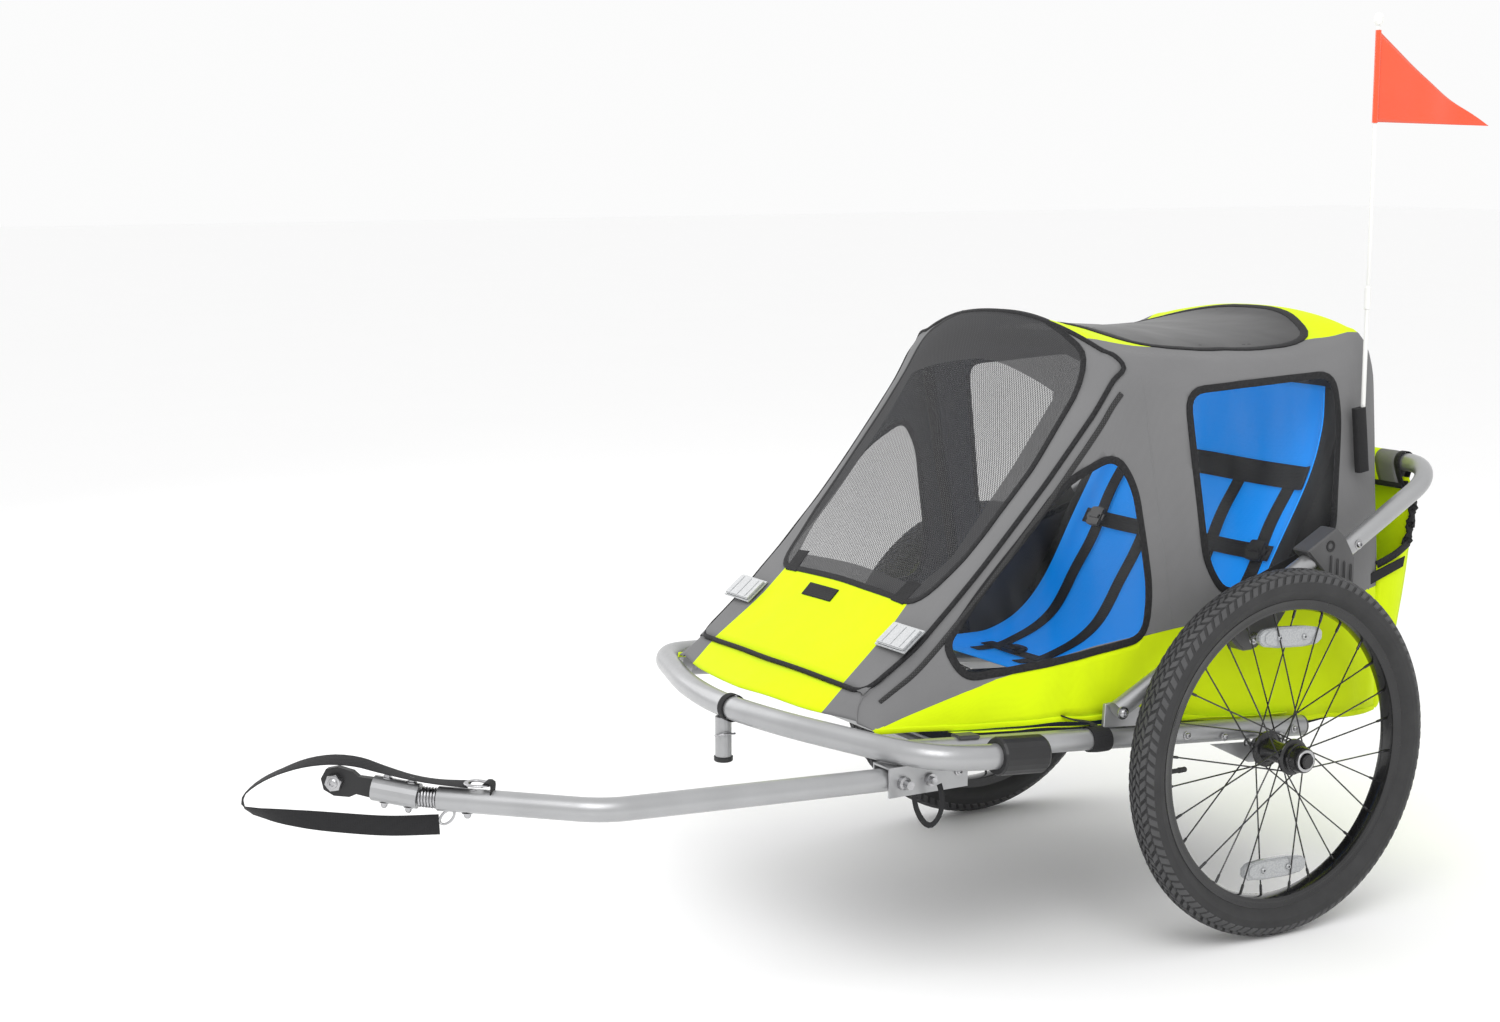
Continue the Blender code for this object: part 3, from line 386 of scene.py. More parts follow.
def moulded(name, colour, grain=500.0, roughness=0.48):
    """Moulded plastic or rubber with a spark-eroded grain and scuffs."""
    look = Look(name, colour, roughness)
    look.set("Specular IOR Level", 0.4)
    look.drive("Base Color", look.shade(colour, look.spread(look.noise(26.0, 4.0), 0.86, 1.14)))
    look.drive("Roughness", look.spread(look.noise(40.0, 3.0), roughness - 0.07, roughness + 0.08))
    look.bump(look.noise(grain, 2.0), 0.22, 0.0004)
    return look.material


def gloss_black():
    """Anodised black alloy."""
    look = Look("gloss_black", BLACK, 0.24, 0.35)
    look.set("Coat Weight", 0.35)
    look.drive("Roughness", look.spread(look.noise(110.0, 3.0), 0.16, 0.30))
    look.drive("Base Color", look.shade(SOOT, look.spread(look.noise(22.0), 0.7, 1.4)))
    look.bump(look.noise(420.0), 0.06, 0.0003)
    return look.material


def machined():
    """Turned bright alloy with fine circular marks."""
    look = Look("machined", BRIGHT, 0.22, 1.0)
    look.drive("Roughness", look.spread(look.noise(180.0, 3.0), 0.16, 0.32))
    look.bump(look.waves("X", 0.0012), 0.12, 0.0003)
    return look.material


def prismatic():
    """Clear reflector with rows of small prisms behind its face."""
    look = Look("prismatic", LENS, 0.16)
    look.set("Specular IOR Level", 0.7).set("Coat Weight", 0.8).set("Coat Roughness", 0.04)
    cells = look.node("ShaderNodeTexVoronoi", Vector=look.coords)
    cells.inputs["Scale"].default_value = 420.0
    look.drive("Base Color", look.shade(LENS, look.spread(cells.outputs["Distance"], 1.06, 0.86)))
    look.bump(cells.outputs["Distance"], 0.20, 0.0005)
    return look.material


def flag_film():
    look = Look("flag_film", ORANGE, 0.16)
    look.set("Specular IOR Level", 0.6).set("Coat Weight", 0.5).set("Coat Roughness", 0.08)
    look.drive("Base Color", look.shade(ORANGE, look.spread(look.noise(12.0, 3.0), 0.94, 1.06)))
    look.bump(look.noise(14.0, 2.0, look.stretched((1.0, 1.0, 2.2))), 0.45, 0.006)
    look.bump(look.noise(90.0, 2.0), 0.08, 0.001)
    return look.material


def pole_rod():
    """White glass fibre with faint lengthwise streaks."""
    look = Look("pole_rod", WHITE, 0.30)
    streaks = look.noise(40.0, 4.0, look.stretched((8.0, 8.0, 0.3)))
    look.drive("Base Color", look.shade(WHITE, look.spread(streaks, 0.86, 1.08)))
    look.bump(streaks, 0.15, 0.0005)
    return look.material


looks = {}


def make_looks():
    looks.update({
        "tube_paint": painted_tube(),
        "zinc": zinc(),
        "moulded": moulded("moulded_grey", DARK_GREY),
        "black_plastic": moulded("black_plastic", (0.016, 0.016, 0.017, 1), roughness=0.40),
        "rubber": moulded("rubber", (0.020, 0.020, 0.021, 1), 300.0, 0.66),
        "tyre": moulded("tyre_rubber", TYRE_BLACK, 260.0, 0.68),
        "tread": moulded("tread_rubber", (0.062, 0.062, 0.064, 1), 260.0, 0.60),
        "gloss_black": gloss_black(),
        "machined": machined(),
        "webbing": webbing(),
        "binding": binding(),
        "zip_tape": zip_tape(),
        "panels": cloth("panel_cloth", GREY, NEON),
        "neon": cloth("neon_cloth", NEON),
        "grey": cloth("grey_cloth", GREY),
        "lining": cloth("lining_cloth", (0.070, 0.070, 0.072, 1)),
        "blue": cloth("blue_cloth", BLUE, pitch=0.0015, soft=0.7, passes=0.30),
        "charcoal": cloth("charcoal_cloth", CHARCOAL),
        "screen": screen_mesh(),
        "vinyl": vinyl("clear_vinyl", CLEAR, 0.0, 0.045),
        "smoke": vinyl("smoke_vinyl", SMOKE, 0.84, 0.95, 0.30),
        "prismatic": prismatic(),
        "flag": flag_film(),
        "pole": pole_rod(),
    })


# ---------------------------------------------------------------- mesh building
def finish_mesh(name, bm, look, smooth_degrees=38):
    """A piece from a bmesh in the trailer's axes, with its faces turned outwards."""
    bmesh.ops.recalc_face_normals(bm, faces=bm.faces)
    bmesh.ops.translate(bm, verts=bm.verts, vec=(0, AXLE_Y, 0))
    mesh = bpy.data.meshes.new(name)
    bm.to_mesh(mesh)
    bm.free()
    mesh.shade_smooth()
    mesh.set_sharp_from_angle(angle=math.radians(smooth_degrees))
    mesh.materials.append(looks[look])
    obj = bpy.data.objects.new(name, mesh)
    bpy.context.scene.collection.objects.link(obj)
    return obj


def grid(bm, rows, close_rows=False, close_columns=False):
    """Quads over rows of points; returns the rows of vertices."""
    made = [[bm.verts.new(p) for p in row] for row in rows]
    last_row = len(made) if close_rows else len(made) - 1
    columns = len(made[0])
    last_column = columns if close_columns else columns - 1
    for r in range(last_row):
        one, two = made[r], made[(r + 1) % len(made)]
        for c in range(last_column):
            d = (c + 1) % columns
            bm.faces.new((one[c], one[d], two[d], two[c]))
    return made


def sheet_piece(name, rows, look, thickness=CLOTH_T):
    """A thin sheet over rows of points, given its real thickness."""
    bm = bmesh.new()
    grid(bm, rows)
    obj = finish_mesh(name, bm, look)
    thicken(obj, thickness)
    return obj


def thicken(obj, thickness, offset=0.0):
    modifier = obj.modifiers.new("thickness", "SOLIDIFY")
    modifier.thickness = thickness
    modifier.offset = offset
    return obj


def lined(obj):
    """Real thickness with a dark coated inner face."""
    thicken(obj, CLOTH_T)
    obj.data.materials.append(looks["lining"])
    obj.modifiers["thickness"].material_offset = 1
    return obj


def baked(obj):
    """The piece with its modifiers made part of its mesh."""
    graph = bpy.context.evaluated_depsgraph_get()
    mesh = bpy.data.meshes.new_from_object(obj.evaluated_get(graph))
    obj.modifiers.clear()
    obj.data = mesh
    return obj


def rounded(corners, radius, steps=6):
    """A route through the corners, each inner corner replaced by an arc."""
    points = [Vector(corners[0])]
    for before, here, after in zip(corners, corners[1:], corners[2:]):
        here = Vector(here)
        back = (Vector(before) - here).normalized()
        ahead = (Vector(after) - here).normalized()
        half = back.angle(ahead) / 2
        centre = here + (back + ahead).normalized() * radius / math.sin(half)
        start = here + back * radius / math.tan(half) - centre
        stop = here + ahead * radius / math.tan(half) - centre
        for k in range(steps + 1):
            turn = Matrix.Rotation(start.angle(stop) * k / steps, 3, start.cross(stop))
            points.append(centre + turn @ start)
    points.append(Vector(corners[-1]))
    return points


def smooth_route(points, step, closed=False):
    """Points every step metres along a Catmull-Rom curve through the given points."""
    knots = [Vector(p) for p in points]
    if closed:
        knots = [knots[-1]] + knots + [knots[0], knots[1]]
    else:
        knots = [2 * knots[0] - knots[1]] + knots + [2 * knots[-1] - knots[-2]]
    route = []
    for a, b, c, d in zip(knots, knots[1:], knots[2:], knots[3:]):
        count = max(1, round((c - b).length / step))
        for k in range(count):
            t = k / count
            route.append(0.5 * (2 * b + (c - a) * t + (2 * a - 5 * b + 4 * c - d) * t ** 2
                                + (3 * b - a - 3 * c + d) * t ** 3))
    if not closed:
        route.append(knots[-2])
    return route


def round_corners(route, reach):
    """A route whose sharp corners are replaced by curves that reach so many points each way."""
    along = [(b - a).normalized() for a, b in zip(route, route[1:])]
    found = list(route)
    for k in range(reach, len(route) - reach):
        if along[k - 1].dot(along[k]) < 0.75:
            start, corner, stop = route[k - reach], route[k], route[k + reach]
            for i in range(2 * reach + 1):
                t = i / (2 * reach)
                found[k - reach + i] = start * (1 - t) ** 2 + corner * 2 * t * (1 - t) + stop * t ** 2
    return found


def tangents(route, closed=False):
    count = len(route)
    found = []
    for k in range(count):
        before = route[k - 1] if closed or k > 0 else route[0]
        after = route[(k + 1) % count] if closed or k < count - 1 else route[-1]
        found.append((after - before).normalized())
    return found


def carried_normals(route, first):
    """Normals along a route, turned no more than the route itself turns."""
    along = tangents(route)
    normal = Vector(first)
    found = []
    for tangent in along:
        normal = (normal - tangent * normal.dot(tangent)).normalized()
        found.append(normal.copy())
    return found


def ring_section(width, thickness, sides=8):
    """Cross-section points of a flat band with rounded edges: across, off."""
    found = []
    for k in range(sides):
        a = 2 * math.pi * (k + 0.5) / sides
        across = math.copysign(abs(math.cos(a)) ** 0.35, math.cos(a)) * width / 2
        off = math.copysign(abs(math.sin(a)) ** 0.6, math.sin(a)) * thickness / 2
        found.append((across, off))
    return found


def round_section(radius, sides=10):
    return [(radius * math.cos(2 * math.pi * k / sides), radius * math.sin(2 * math.pi * k / sides))
            for k in range(sides)]


def sweep(bm, route, normals, section, closed=False):
    """A cross-section carried along a route; off is along the normals."""
    rows = []
    for here, tangent, normal in zip(route, tangents(route, closed), normals):
        across = tangent.cross(normal).normalized()
        off = across.cross(tangent).normalized()
        rows.append([here + across * a + off * o for a, o in section])
    made = grid(bm, rows, close_rows=closed, close_columns=True)
    if not closed:
        bm.faces.new(made[0][::-1])
        bm.faces.new(made[-1])
    return rows


def band(name, route, normals, width, thickness, look, closed=False, sides=8):
    bm = bmesh.new()
    sweep(bm, route, normals, ring_section(width, thickness, sides), closed)
    return finish_mesh(name, bm, look, 60)


def wire(name, route, radius, look, closed=False, first=(0, 0, 1)):
    bm = bmesh.new()
    sweep(bm, route, carried_normals(route, first), round_section(radius), closed)
    return finish_mesh(name, bm, look, 60)


def add_turned(bm, profile, start, axis, sides=24, material=0):
    """A solid turned about an axis: profile is (distance along it, radius), end to end."""
    turn = Vector((0, 0, 1)).rotation_difference(Vector(axis)).to_matrix()
    rings = []
    for along, radius in profile:
        ring = []
        for k in range(sides if radius > 0 else 1):
            angle = 2 * math.pi * k / sides
            local = Vector((radius * math.cos(angle), radius * math.sin(angle), along))
            ring.append(bm.verts.new(Vector(start) + turn @ local))
        rings.append(ring)
    pairs = list(zip(rings, rings[1:]))
    if profile[0][1] > 0:
        pairs.append((rings[-1], rings[0]))
    for one, two in pairs:
        for k in range(sides):
            loop = [one[k % len(one)], one[(k + 1) % len(one)],
                    two[(k + 1) % len(two)], two[k % len(two)]]
            corners = list(dict.fromkeys(loop))
            if len(corners) > 2:
                bm.faces.new(corners).material_index = material


def turned(name, profile, start, axis, look, sides=24):
    bm = bmesh.new()
    add_turned(bm, profile, start, axis, sides)
    return finish_mesh(name, bm, look)


def pushed(bm, outline, lift):
    """A flat outline pushed out into a solid by the vector lift; returns its vertices."""
    base = bm.faces.new([bm.verts.new(p) for p in outline])
    out = bmesh.ops.extrude_face_region(bm, geom=[base])
    moved = [v for v in out["geom"] if isinstance(v, bmesh.types.BMVert)]
    bmesh.ops.translate(bm, verts=moved, vec=lift)
    return set(moved) | set(base.verts)


def slab(bm, outline, lift, bevel=0.0008, segments=2):
    """A flat outline pushed out by the vector lift, with softened edges."""
    geometry = pushed(bm, outline, lift)
    edges = [e for e in bm.edges if e.verts[0] in geometry and e.verts[1] in geometry]
    bmesh.ops.bevel(bm, geom=edges, offset=bevel, segments=segments, affect="EDGES")


def slab_piece(name, outline, lift, look, bevel=0.0008):
    bm = bmesh.new()
    slab(bm, outline, lift, bevel)
    return finish_mesh(name, bm, look, 30)


def prism(outline, lift):
    """A plain closed cutter."""
    bm = bmesh.new()
    pushed(bm, outline, lift)
    return finish_mesh("cutter", bm, "grey")


def cut(obj, cutter, operation):
    modifier = obj.modifiers.new("cut", "BOOLEAN")
    modifier.operation = operation
    modifier.object = cutter
    bpy.context.view_layer.update()
    baked(obj)
    bpy.data.objects.remove(cutter, do_unlink=True)
    return obj


def on(obj, body, slot, soft=False, *nodes):
    """Puts a finished piece on its body; the slot argument is not used."""
    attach(obj, body)
    if nodes:
        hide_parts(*nodes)
    if soft:
        soft_pieces.append(obj)
    return obj


def mark(obj, inside):
    """Writes the panel value at each vertex: above zero inside the second cloth."""
    values = [inside(v.co.x, v.co.y - AXLE_Y, v.co.z) for v in obj.data.vertices]
    attribute = obj.data.attributes.new("panel", "FLOAT", "POINT")
    attribute.data.foreach_set("value", values)
    return obj


def between(value, table):
    """Straight-line reading of a table of (value, result) rows."""
    if value <= table[0][0]:
        return table[0][1]
    for (a, one), (b, two) in zip(table, table[1:]):
        if value <= b:
            return one + (two - one) * (value - a) / (b - a)
    return table[-1][1]


# ---------------------------------------------------------------- the cabin's surface
def station_at(index, share):
    """A cross-section between two stations, on a smooth curve through all of them."""
    rows = [STATIONS[max(0, min(len(STATIONS) - 1, index + k))] for k in (-1, 0, 1, 2)]
    found = []
    for a, b, c, d in zip(*rows):
        smooth = 0.5 * (2 * b + (c - a) * share + (2 * a - 5 * b + 4 * c - d) * share ** 2
                        + (3 * b - a - 3 * c + d) * share ** 3)
        straight = b + (c - b) * share
        found.append(0.55 * smooth + 0.45 * straight)
    return found


def section(station):
    """One arch, from the bottom left over the crown to the bottom right."""
    y, bow, low_z, low_x, top_x, top_z, crown_z, radius = station
    half = []
    for k in range(SIDE_STEPS + 1):
        t = k / SIDE_STEPS
        half.append((low_x + (top_x - low_x) * t ** 1.6, low_z + (top_z - radius - low_z) * t))
    for k in range(1, ARC_STEPS + 1):
        a = math.pi / 2 * k / ARC_STEPS
        half.append((top_x - radius + radius * math.cos(a), top_z - radius + radius * math.sin(a)))
    edge = top_x - radius
    for k in range(1, CROWN_STEPS + 1):
        x = edge * (1 - k / CROWN_STEPS)
        half.append((x, top_z + (crown_z - top_z) * (1 - (x / edge) ** 2)))
    whole = half + [(-x, z) for x, z in half[:-1]][::-1]
    return [Vector((x, y - bow * (1 - (abs(x) / BODY_X) ** 1.5), z)) for x, z in whole]


def billow(p):
    """How far the cloth stands off its drawn shape: slack between the tubes, and soft folds."""
    slack = noise.noise(Vector((p.x * 4, p.y * 6 + 3, p.z * 6)))
    folds = noise.noise(Vector((p.x * 9, p.y * 21, p.z * 8 + 5)))
    low = max(0.0, min(1.0, (0.46 - p.z) / 0.12))
    creases = noise.noise(Vector((p.x * 5, p.y * 34, p.z * 13)))
    return 0.0030 * slack + 0.0022 * folds + 0.0042 * low * creases


def cabin_rows():
    """The whole cabin as rows of points, billowed."""
    rows = []
    for index in range(len(STATIONS) - 1):
        for k in range(ROWS_PER_STATION):
            rows.append(section(station_at(index, k / ROWS_PER_STATION)))
    rows.append(section(STATIONS[-1]))
    centre = Vector((0, 0, 0.5))
    moved = []
    for row in rows:
        new = []
        for p in row:
            out = Vector((p.x, 0.4 * (p.y - centre.y), (p.z - centre.z)))
            new.append(p + out.normalized() * billow(p))
        moved.append(new)
    return moved


def rear_rows(edge):
    """The rear wall, drawn between the two halves of the last arch."""
    half = len(edge) // 2
    across = 24
    rows = []
    for c in range(half):
        one, two = edge[c], edge[-1 - c]
        row = []
        for k in range(across + 1):
            p = one.lerp(two, k / across)
            p.y = one.y - STATIONS[-1][1] * 0.9 * (1 - (2 * k / across - 1) ** 2)
            row.append(p)
        rows.append(row)
    rows.append([edge[half]] * (across + 1))
    return rows


TOP_FIRST = SIDE_STEPS + COVER_ARC
TOP_LAST = 2 * (SIDE_STEPS + ARC_STEPS + CROWN_STEPS) - TOP_FIRST
ROW_FIRST = COVER_FIRST * ROWS_PER_STATION
ROW_LAST = COVER_LAST * ROWS_PER_STATION

cabin = cabin_rows()
rear = rear_rows(cabin[-1])


def skin_tree():
    """The whole cabin as a surface that trims are laid on."""
    points, faces = [], []
    for rows in (cabin, rear):
        start, columns = len(points), len(rows[0])
        points += [p for row in rows for p in row]
        for r in range(len(rows) - 1):
            for c in range(columns - 1):
                a = start + r * columns + c
                faces.append((a, a + 1, a + columns + 1, a + columns))
    return BVHTree.FromPolygons(points, faces)


skin = skin_tree()


def laid(origins, direction, off):
    """Points dropped on the cabin along a direction and lifted off it, with their normals."""
    direction = Vector(direction).normalized()
    points, normals = [], []
    for origin in origins:
        place_hit, normal, _, _ = skin.ray_cast(Vector(origin), direction)
        if normal.dot(direction) > 0:
            normal = -normal
        points.append(place_hit + normal * off)
        normals.append(normal)
    return points, normals


def outline_route(corners, radius, inset=0.0, steps=5):
    """A closed polygon of pairs, drawn in by inset, with round corners and even points."""
    corners = [Vector(p) for p in corners]
    count = len(corners)
    centre = sum(corners, Vector((0, 0))) / count
    inner = []
    for k in range(count):
        away = (corners[k - 1] - corners[k]).normalized()
        ahead = (corners[(k + 1) % count] - corners[k]).normalized()
        inward = (away + ahead).normalized()
        if inward.dot(centre - corners[k]) < 0:
            inward = -inward
        inner.append(corners[k] + inward * inset / math.sin(away.angle(ahead) / 2))
    route = []
    for k in range(count):
        here = inner[k]
        away = inner[k - 1] - here
        ahead = inner[(k + 1) % count] - here
        reach = min(radius, 0.45 * away.length, 0.45 * ahead.length)
        one = here + away.normalized() * reach
        two = here + ahead.normalized() * reach
        for i in range(steps + 1):
            t = i / steps
            route.append(one * (1 - t) ** 2 + here * 2 * t * (1 - t) + two * t ** 2)
    return route


def evened(route, step):
    """A closed route of pairs with no gap longer than step."""
    found = []
    for one, two in zip(route, route[1:] + route[:1]):
        count = max(1, math.ceil((two - one).length / step))
        found += [one.lerp(two, k / count) for k in range(count)]
    return found


def side_points(route, sign):
    return [(sign * 0.5, p[0], p[1]) for p in route]


def top_points(route):
    return [(p[1], p[0], 1.5) for p in route]


def in_neon(x, y, z):
    """Above zero on the neon cloth of the cabin: lower sides, nose, roof middle, rear middle."""
    low = between(y, SIDE_LINE) - z
    nose = 0.167 - abs(x) if y < -0.555 else -1.0
    roof = between(y, ROOF_LINE) - abs(x) if z > 0.60 and y > -0.28 else -1.0
    back = 0.212 - abs(x) if y > 0.268 else -1.0
    return max(low, nose, roof, back)


def in_cover_neon(x, y, _):
    """Above zero on the middle panel below the screen."""
    return min(0.150 + 0.12 * (-0.46 - y) - abs(x), 0.05 if y < -0.40 else -1.0)


def make_cabin():
    bm = bmesh.new()
    made = [[bm.verts.new(p) for p in row] for row in cabin]
    for r in range(len(cabin) - 1):
        for c in range(len(cabin[0]) - 1):
            if not (ROW_FIRST <= r < ROW_LAST and TOP_FIRST <= c < TOP_LAST):
                bm.faces.new((made[r][c], made[r][c + 1], made[r + 1][c + 1], made[r + 1][c]))
    for one, two in zip(rear, rear[1:]):
        for c in range(len(one) - 1):
            corners = []
            for p in (one[c], one[c + 1], two[c + 1], two[c]):
                if not corners or all((p - q).length > 1e-7 for q in corners):
                    corners.append(p)
            if len(corners) > 2:
                bm.faces.new([bm.verts.new(p) for p in corners])
    bmesh.ops.remove_doubles(bm, verts=bm.verts, dist=0.00002)
    bmesh.ops.delete(bm, geom=[v for v in bm.verts if not v.link_faces], context="VERTS")
    body = lined(finish_mesh("cabin_cloth", bm, "panels"))
    for corners in (FRONT_WINDOW, REAR_WINDOW):
        for sign in (1, -1):
            cut(body, window_cutter(corners, sign), "DIFFERENCE")
    cut(body, roof_cutter(SUNROOF, 0.05, 0.7), "DIFFERENCE")
    mark(body, in_neon)
    on(body, "trailer", "grey_fabric", True, "fabric_body")


def window_cutter(corners, sign):
    outline = [(sign * 0.19, p[0], p[1]) for p in outline_route(corners, CORNER_R)]
    return prism(outline, (sign * 0.12, 0, 0))


def roof_cutter(corners, radius, z):
    outline = [(p[1], p[0], z) for p in outline_route(corners, radius)]
    return prism(outline, (0, 0, 0.4))


def pane_rows(off):
    """The cabin's rows moved off by a distance towards the outside."""
    rows = []
    for row in cabin:
        new = []
        for p in row:
            _, normal, _, _ = skin.find_nearest(p)
            if normal.dot(p - Vector((0, p.y, 0.45))) < 0:
                normal = -normal
            new.append(p + normal * off)
        rows.append(new)
    return rows


def pane(name, cutter, rows, look):
    """The part of a surface inside a cutter, as one layer of film."""
    bm = bmesh.new()
    grid(bm, rows)
    obj = finish_mesh(name, bm, look)
    thicken(obj, 0.002, 1.0)
    cut(obj, cutter, "INTERSECT")
    return outer_layer(obj)


def outer_layer(obj):
    """Leaves only the faces that look outwards from the cabin's middle line."""
    bm = bmesh.new()
    bm.from_mesh(obj.data)
    inner = []
    for face in bm.faces:
        centre = face.calc_center_median()
        out = Vector((centre.x, 0, centre.z - 0.45))
        if abs(centre.x) < 0.21:
            out = Vector((0, -0.4, 1))
        if face.normal.dot(out.normalized()) < 0.25:
            inner.append(face)
    bmesh.ops.delete(bm, geom=inner, context="FACES")
    bm.to_mesh(obj.data)
    bm.free()
    obj.data.shade_smooth()
    return obj


def make_windows():
    rows = pane_rows(-0.0006)
    for corners, where in ((FRONT_WINDOW, "front"), (REAR_WINDOW, "rear")):
        for side, sign in SIDES:
            name = f"window_film_{where}_{side}"
            film = pane(name, window_cutter(corners, sign), rows, "vinyl")
            on(film, "trailer", "clear_vinyl", True, f"window_{where}_{side}")
            edge_tape(f"window_binding_{where}_{side}", evened(outline_route(corners, CORNER_R), 0.008),
                      sign)
    film = pane("sunroof_film", roof_cutter(SUNROOF, 0.05, 0.7), rows, "smoke")
    on(film, "trailer", "clear_vinyl", True, "sunroof")
    route = evened(outline_route(SUNROOF, 0.05), 0.008)
    points, normals = laid(top_points(route), (0, 0, -1), 0.0010)
    tape = band("sunroof_binding", points, normals, 0.0115, 0.0030, "binding", True)
    on(tape, "trailer", "webbing", True)
    points, normals = laid(top_points(evened(outline_route(SUNROOF, 0.05, 0.018), 0.008)), (0, 0, -1), 0.0006)
    tape = band("sunroof_seam", points, normals, 0.0030, 0.0016, "binding", True)
    on(tape, "trailer", "webbing", True)


def edge_tape(name, route, sign):
    """Black binding round a side window."""
    points, normals = laid(side_points(route, sign), (-sign, 0, 0), 0.0008)
    tape = band(name, points, normals, 0.0105, 0.0030, "binding", True)
    on(tape, "trailer", "webbing", True)


# ---------------------------------------------------------------- front cover
def cover_rows(off):
    rows = []
    for r in range(ROW_FIRST, ROW_LAST + 1):
        row = []
        for c in range(TOP_FIRST, TOP_LAST + 1):
            here = cabin[r][c]
            along = cabin[min(r + 1, ROW_LAST)][c] - cabin[max(r - 1, ROW_FIRST)][c]
            across = cabin[r][c + 1] - cabin[r][c - 1]
            normal = across.cross(along).normalized()
            if normal.z < 0:
                normal = -normal
            row.append(here + normal * off)
        rows.append(row)
    return rows


def hem_depth(x, y, _):
    """Above zero in the doubled hem round the screen."""
    side = abs(x) - 0.168 + max(0.0, -0.42 - y) * 0.62
    return max(side, -0.455 - y, y + 0.252)


def make_cover():
    rows = cover_rows(COVER_OFF)
    bm = bmesh.new()
    grid(bm, rows)
    panel = lined(finish_mesh("cover_cloth", bm, "panels"))
    cut(panel, screen_cutter(), "DIFFERENCE")
    mark(panel, in_cover_neon)
    on(panel, "cover", "grey_fabric", True, "front_cover")
    screen = pane("cover_screen", screen_cutter(), rows, "screen")
    mark(screen, hem_depth)
    on(screen, "cover", "webbing", True)
    make_cover_trim(rows)


def screen_cutter():
    outline = [(p[1], p[0], 0.2) for p in outline_route(SCREEN, 0.028)]
    return prism(outline, (0, 0, 0.8))


def cover_outline(rows):
    """Every other point of the cover's edge, once round from the middle of its lower edge."""
    last, middle = len(rows) - 1, len(rows[0]) // 2
    outline = rows[0][middle:0:-1]
    outline += [rows[r][0] for r in range(last)]
    outline += rows[last]
    outline += [rows[r][-1] for r in range(last - 1, 0, -1)]
    outline += rows[0][:middle - 1:-1]
    return outline[::2] + outline[-1:]


def make_side_zip(side, sign):
    """Zip beside the cover's edge, where the side cloth opens."""
    route = []
    for r in range(ROW_FIRST + 1, ROW_LAST + 1):
        row = cabin[r] if sign > 0 else cabin[r][::-1]
        column, walked = TOP_FIRST, 0.0
        while walked < ZIP_GAP:
            walked += (row[column] - row[column - 1]).length
            column -= 1
        share = (walked - ZIP_GAP) / (row[column] - row[column + 1]).length
        lift = Vector((sign * 0.0012, -0.0004, 0.0004))
        route.append(row[column].lerp(row[column + 1], share) + lift)
    route = smooth_route(route[::2], 0.008)
    normals = [Vector((sign, 0, 0.25))] * len(route)
    strip = band(f"side_zip_{side}", route, normals, 0.0075, 0.0024, "zip_tape")
    on(strip, "trailer", "webbing", True)


def make_cover_trim(rows):
    """The cover's edge piping, the screen's binding, reflectors and pull tab."""
    route = evened(outline_route(SCREEN, 0.028), 0.008)
    points, normals = laid(top_points(route), (0, 0, -1), COVER_OFF + 0.0010)
    tape = band("screen_binding", points, normals, 0.0085, 0.0026, "binding", True)
    on(tape, "cover", "webbing", True)
    loop = round_corners(smooth_route(cover_outline(rows), 0.008), 5)
    piping = wire("cover_piping", loop, 0.0034, "binding", first=(0.3, 0, 1))
    on(piping, "cover", "webbing", True)
    for side, sign in SIDES:
        make_corner_tab(side, sign)
        make_front_reflector(side)
    tab = [(-0.066, -0.4970), (0.006, -0.4970), (0.006, -0.4820), (-0.066, -0.4820)]
    points, _ = laid([(x, y, 1.5) for x, y in tab], (0, 0, -1), COVER_OFF + 0.0008)
    tab = slab_piece("pull_tab", points, Vector((0, -0.6, 0.8)) * 0.0016, "webbing", 0.0005)
    on(tab, "cover", "webbing", True)


def make_corner_tab(side, sign):
    """Small dark square patch sewn on the screen's lower corner."""
    corners = [(0.118, -0.474), (0.146, -0.474), (0.152, -0.448), (0.124, -0.448)]
    points, _ = laid([(sign * x, y, 1.5) for x, y in corners], (0, 0, -1), COVER_OFF + 0.0010)
    if sign < 0:
        points = points[::-1]
    tab = slab_piece(f"corner_patch_{side}", points, Vector((0, -0.6, 0.8)) * 0.0014, "webbing", 0.0005)
    on(tab, "cover", "webbing", True)


def make_front_reflector(side):
    """Clear rectangular reflector: a bevelled lens on a thin backing with three ridges on its face; its two
    end screws are not drawn.
    """
    low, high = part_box(f"front_reflector_{side}")
    centre = (low + high) / 2 - Vector((0, AXLE_Y, 0))
    up = Vector((0, 0.782, 0.623)).normalized()
    out = Vector((0, -up.z, up.y))
    across = Vector((1, 0, 0))
    bm = bmesh.new()
    for half_w, half_h, start, thick, bevel in ((0.0338, 0.0205, -0.0025, 0.0022, 0.0008),
                                                (0.0315, 0.0182, -0.0003, 0.0030, 0.0014)):
        outline = []
        for a, b in SQUARE:
            outline.append(centre + across * a * half_w + up * b * half_h + out * start)
        slab(bm, outline, out * thick, bevel)
    for k in range(-1, 2):
        ridge = centre + across * k * 0.0200 + out * 0.0024
        outline = [ridge + across * a * 0.0012 + up * b * 0.0155 for a, b in SQUARE]
        slab(bm, outline, out * 0.0009, 0.0003)
    lens = finish_mesh(f"front_reflector_lens_{side}", bm, "prismatic", 30)
    on(lens, "cover", "reflector", True, f"front_reflector_{side}")


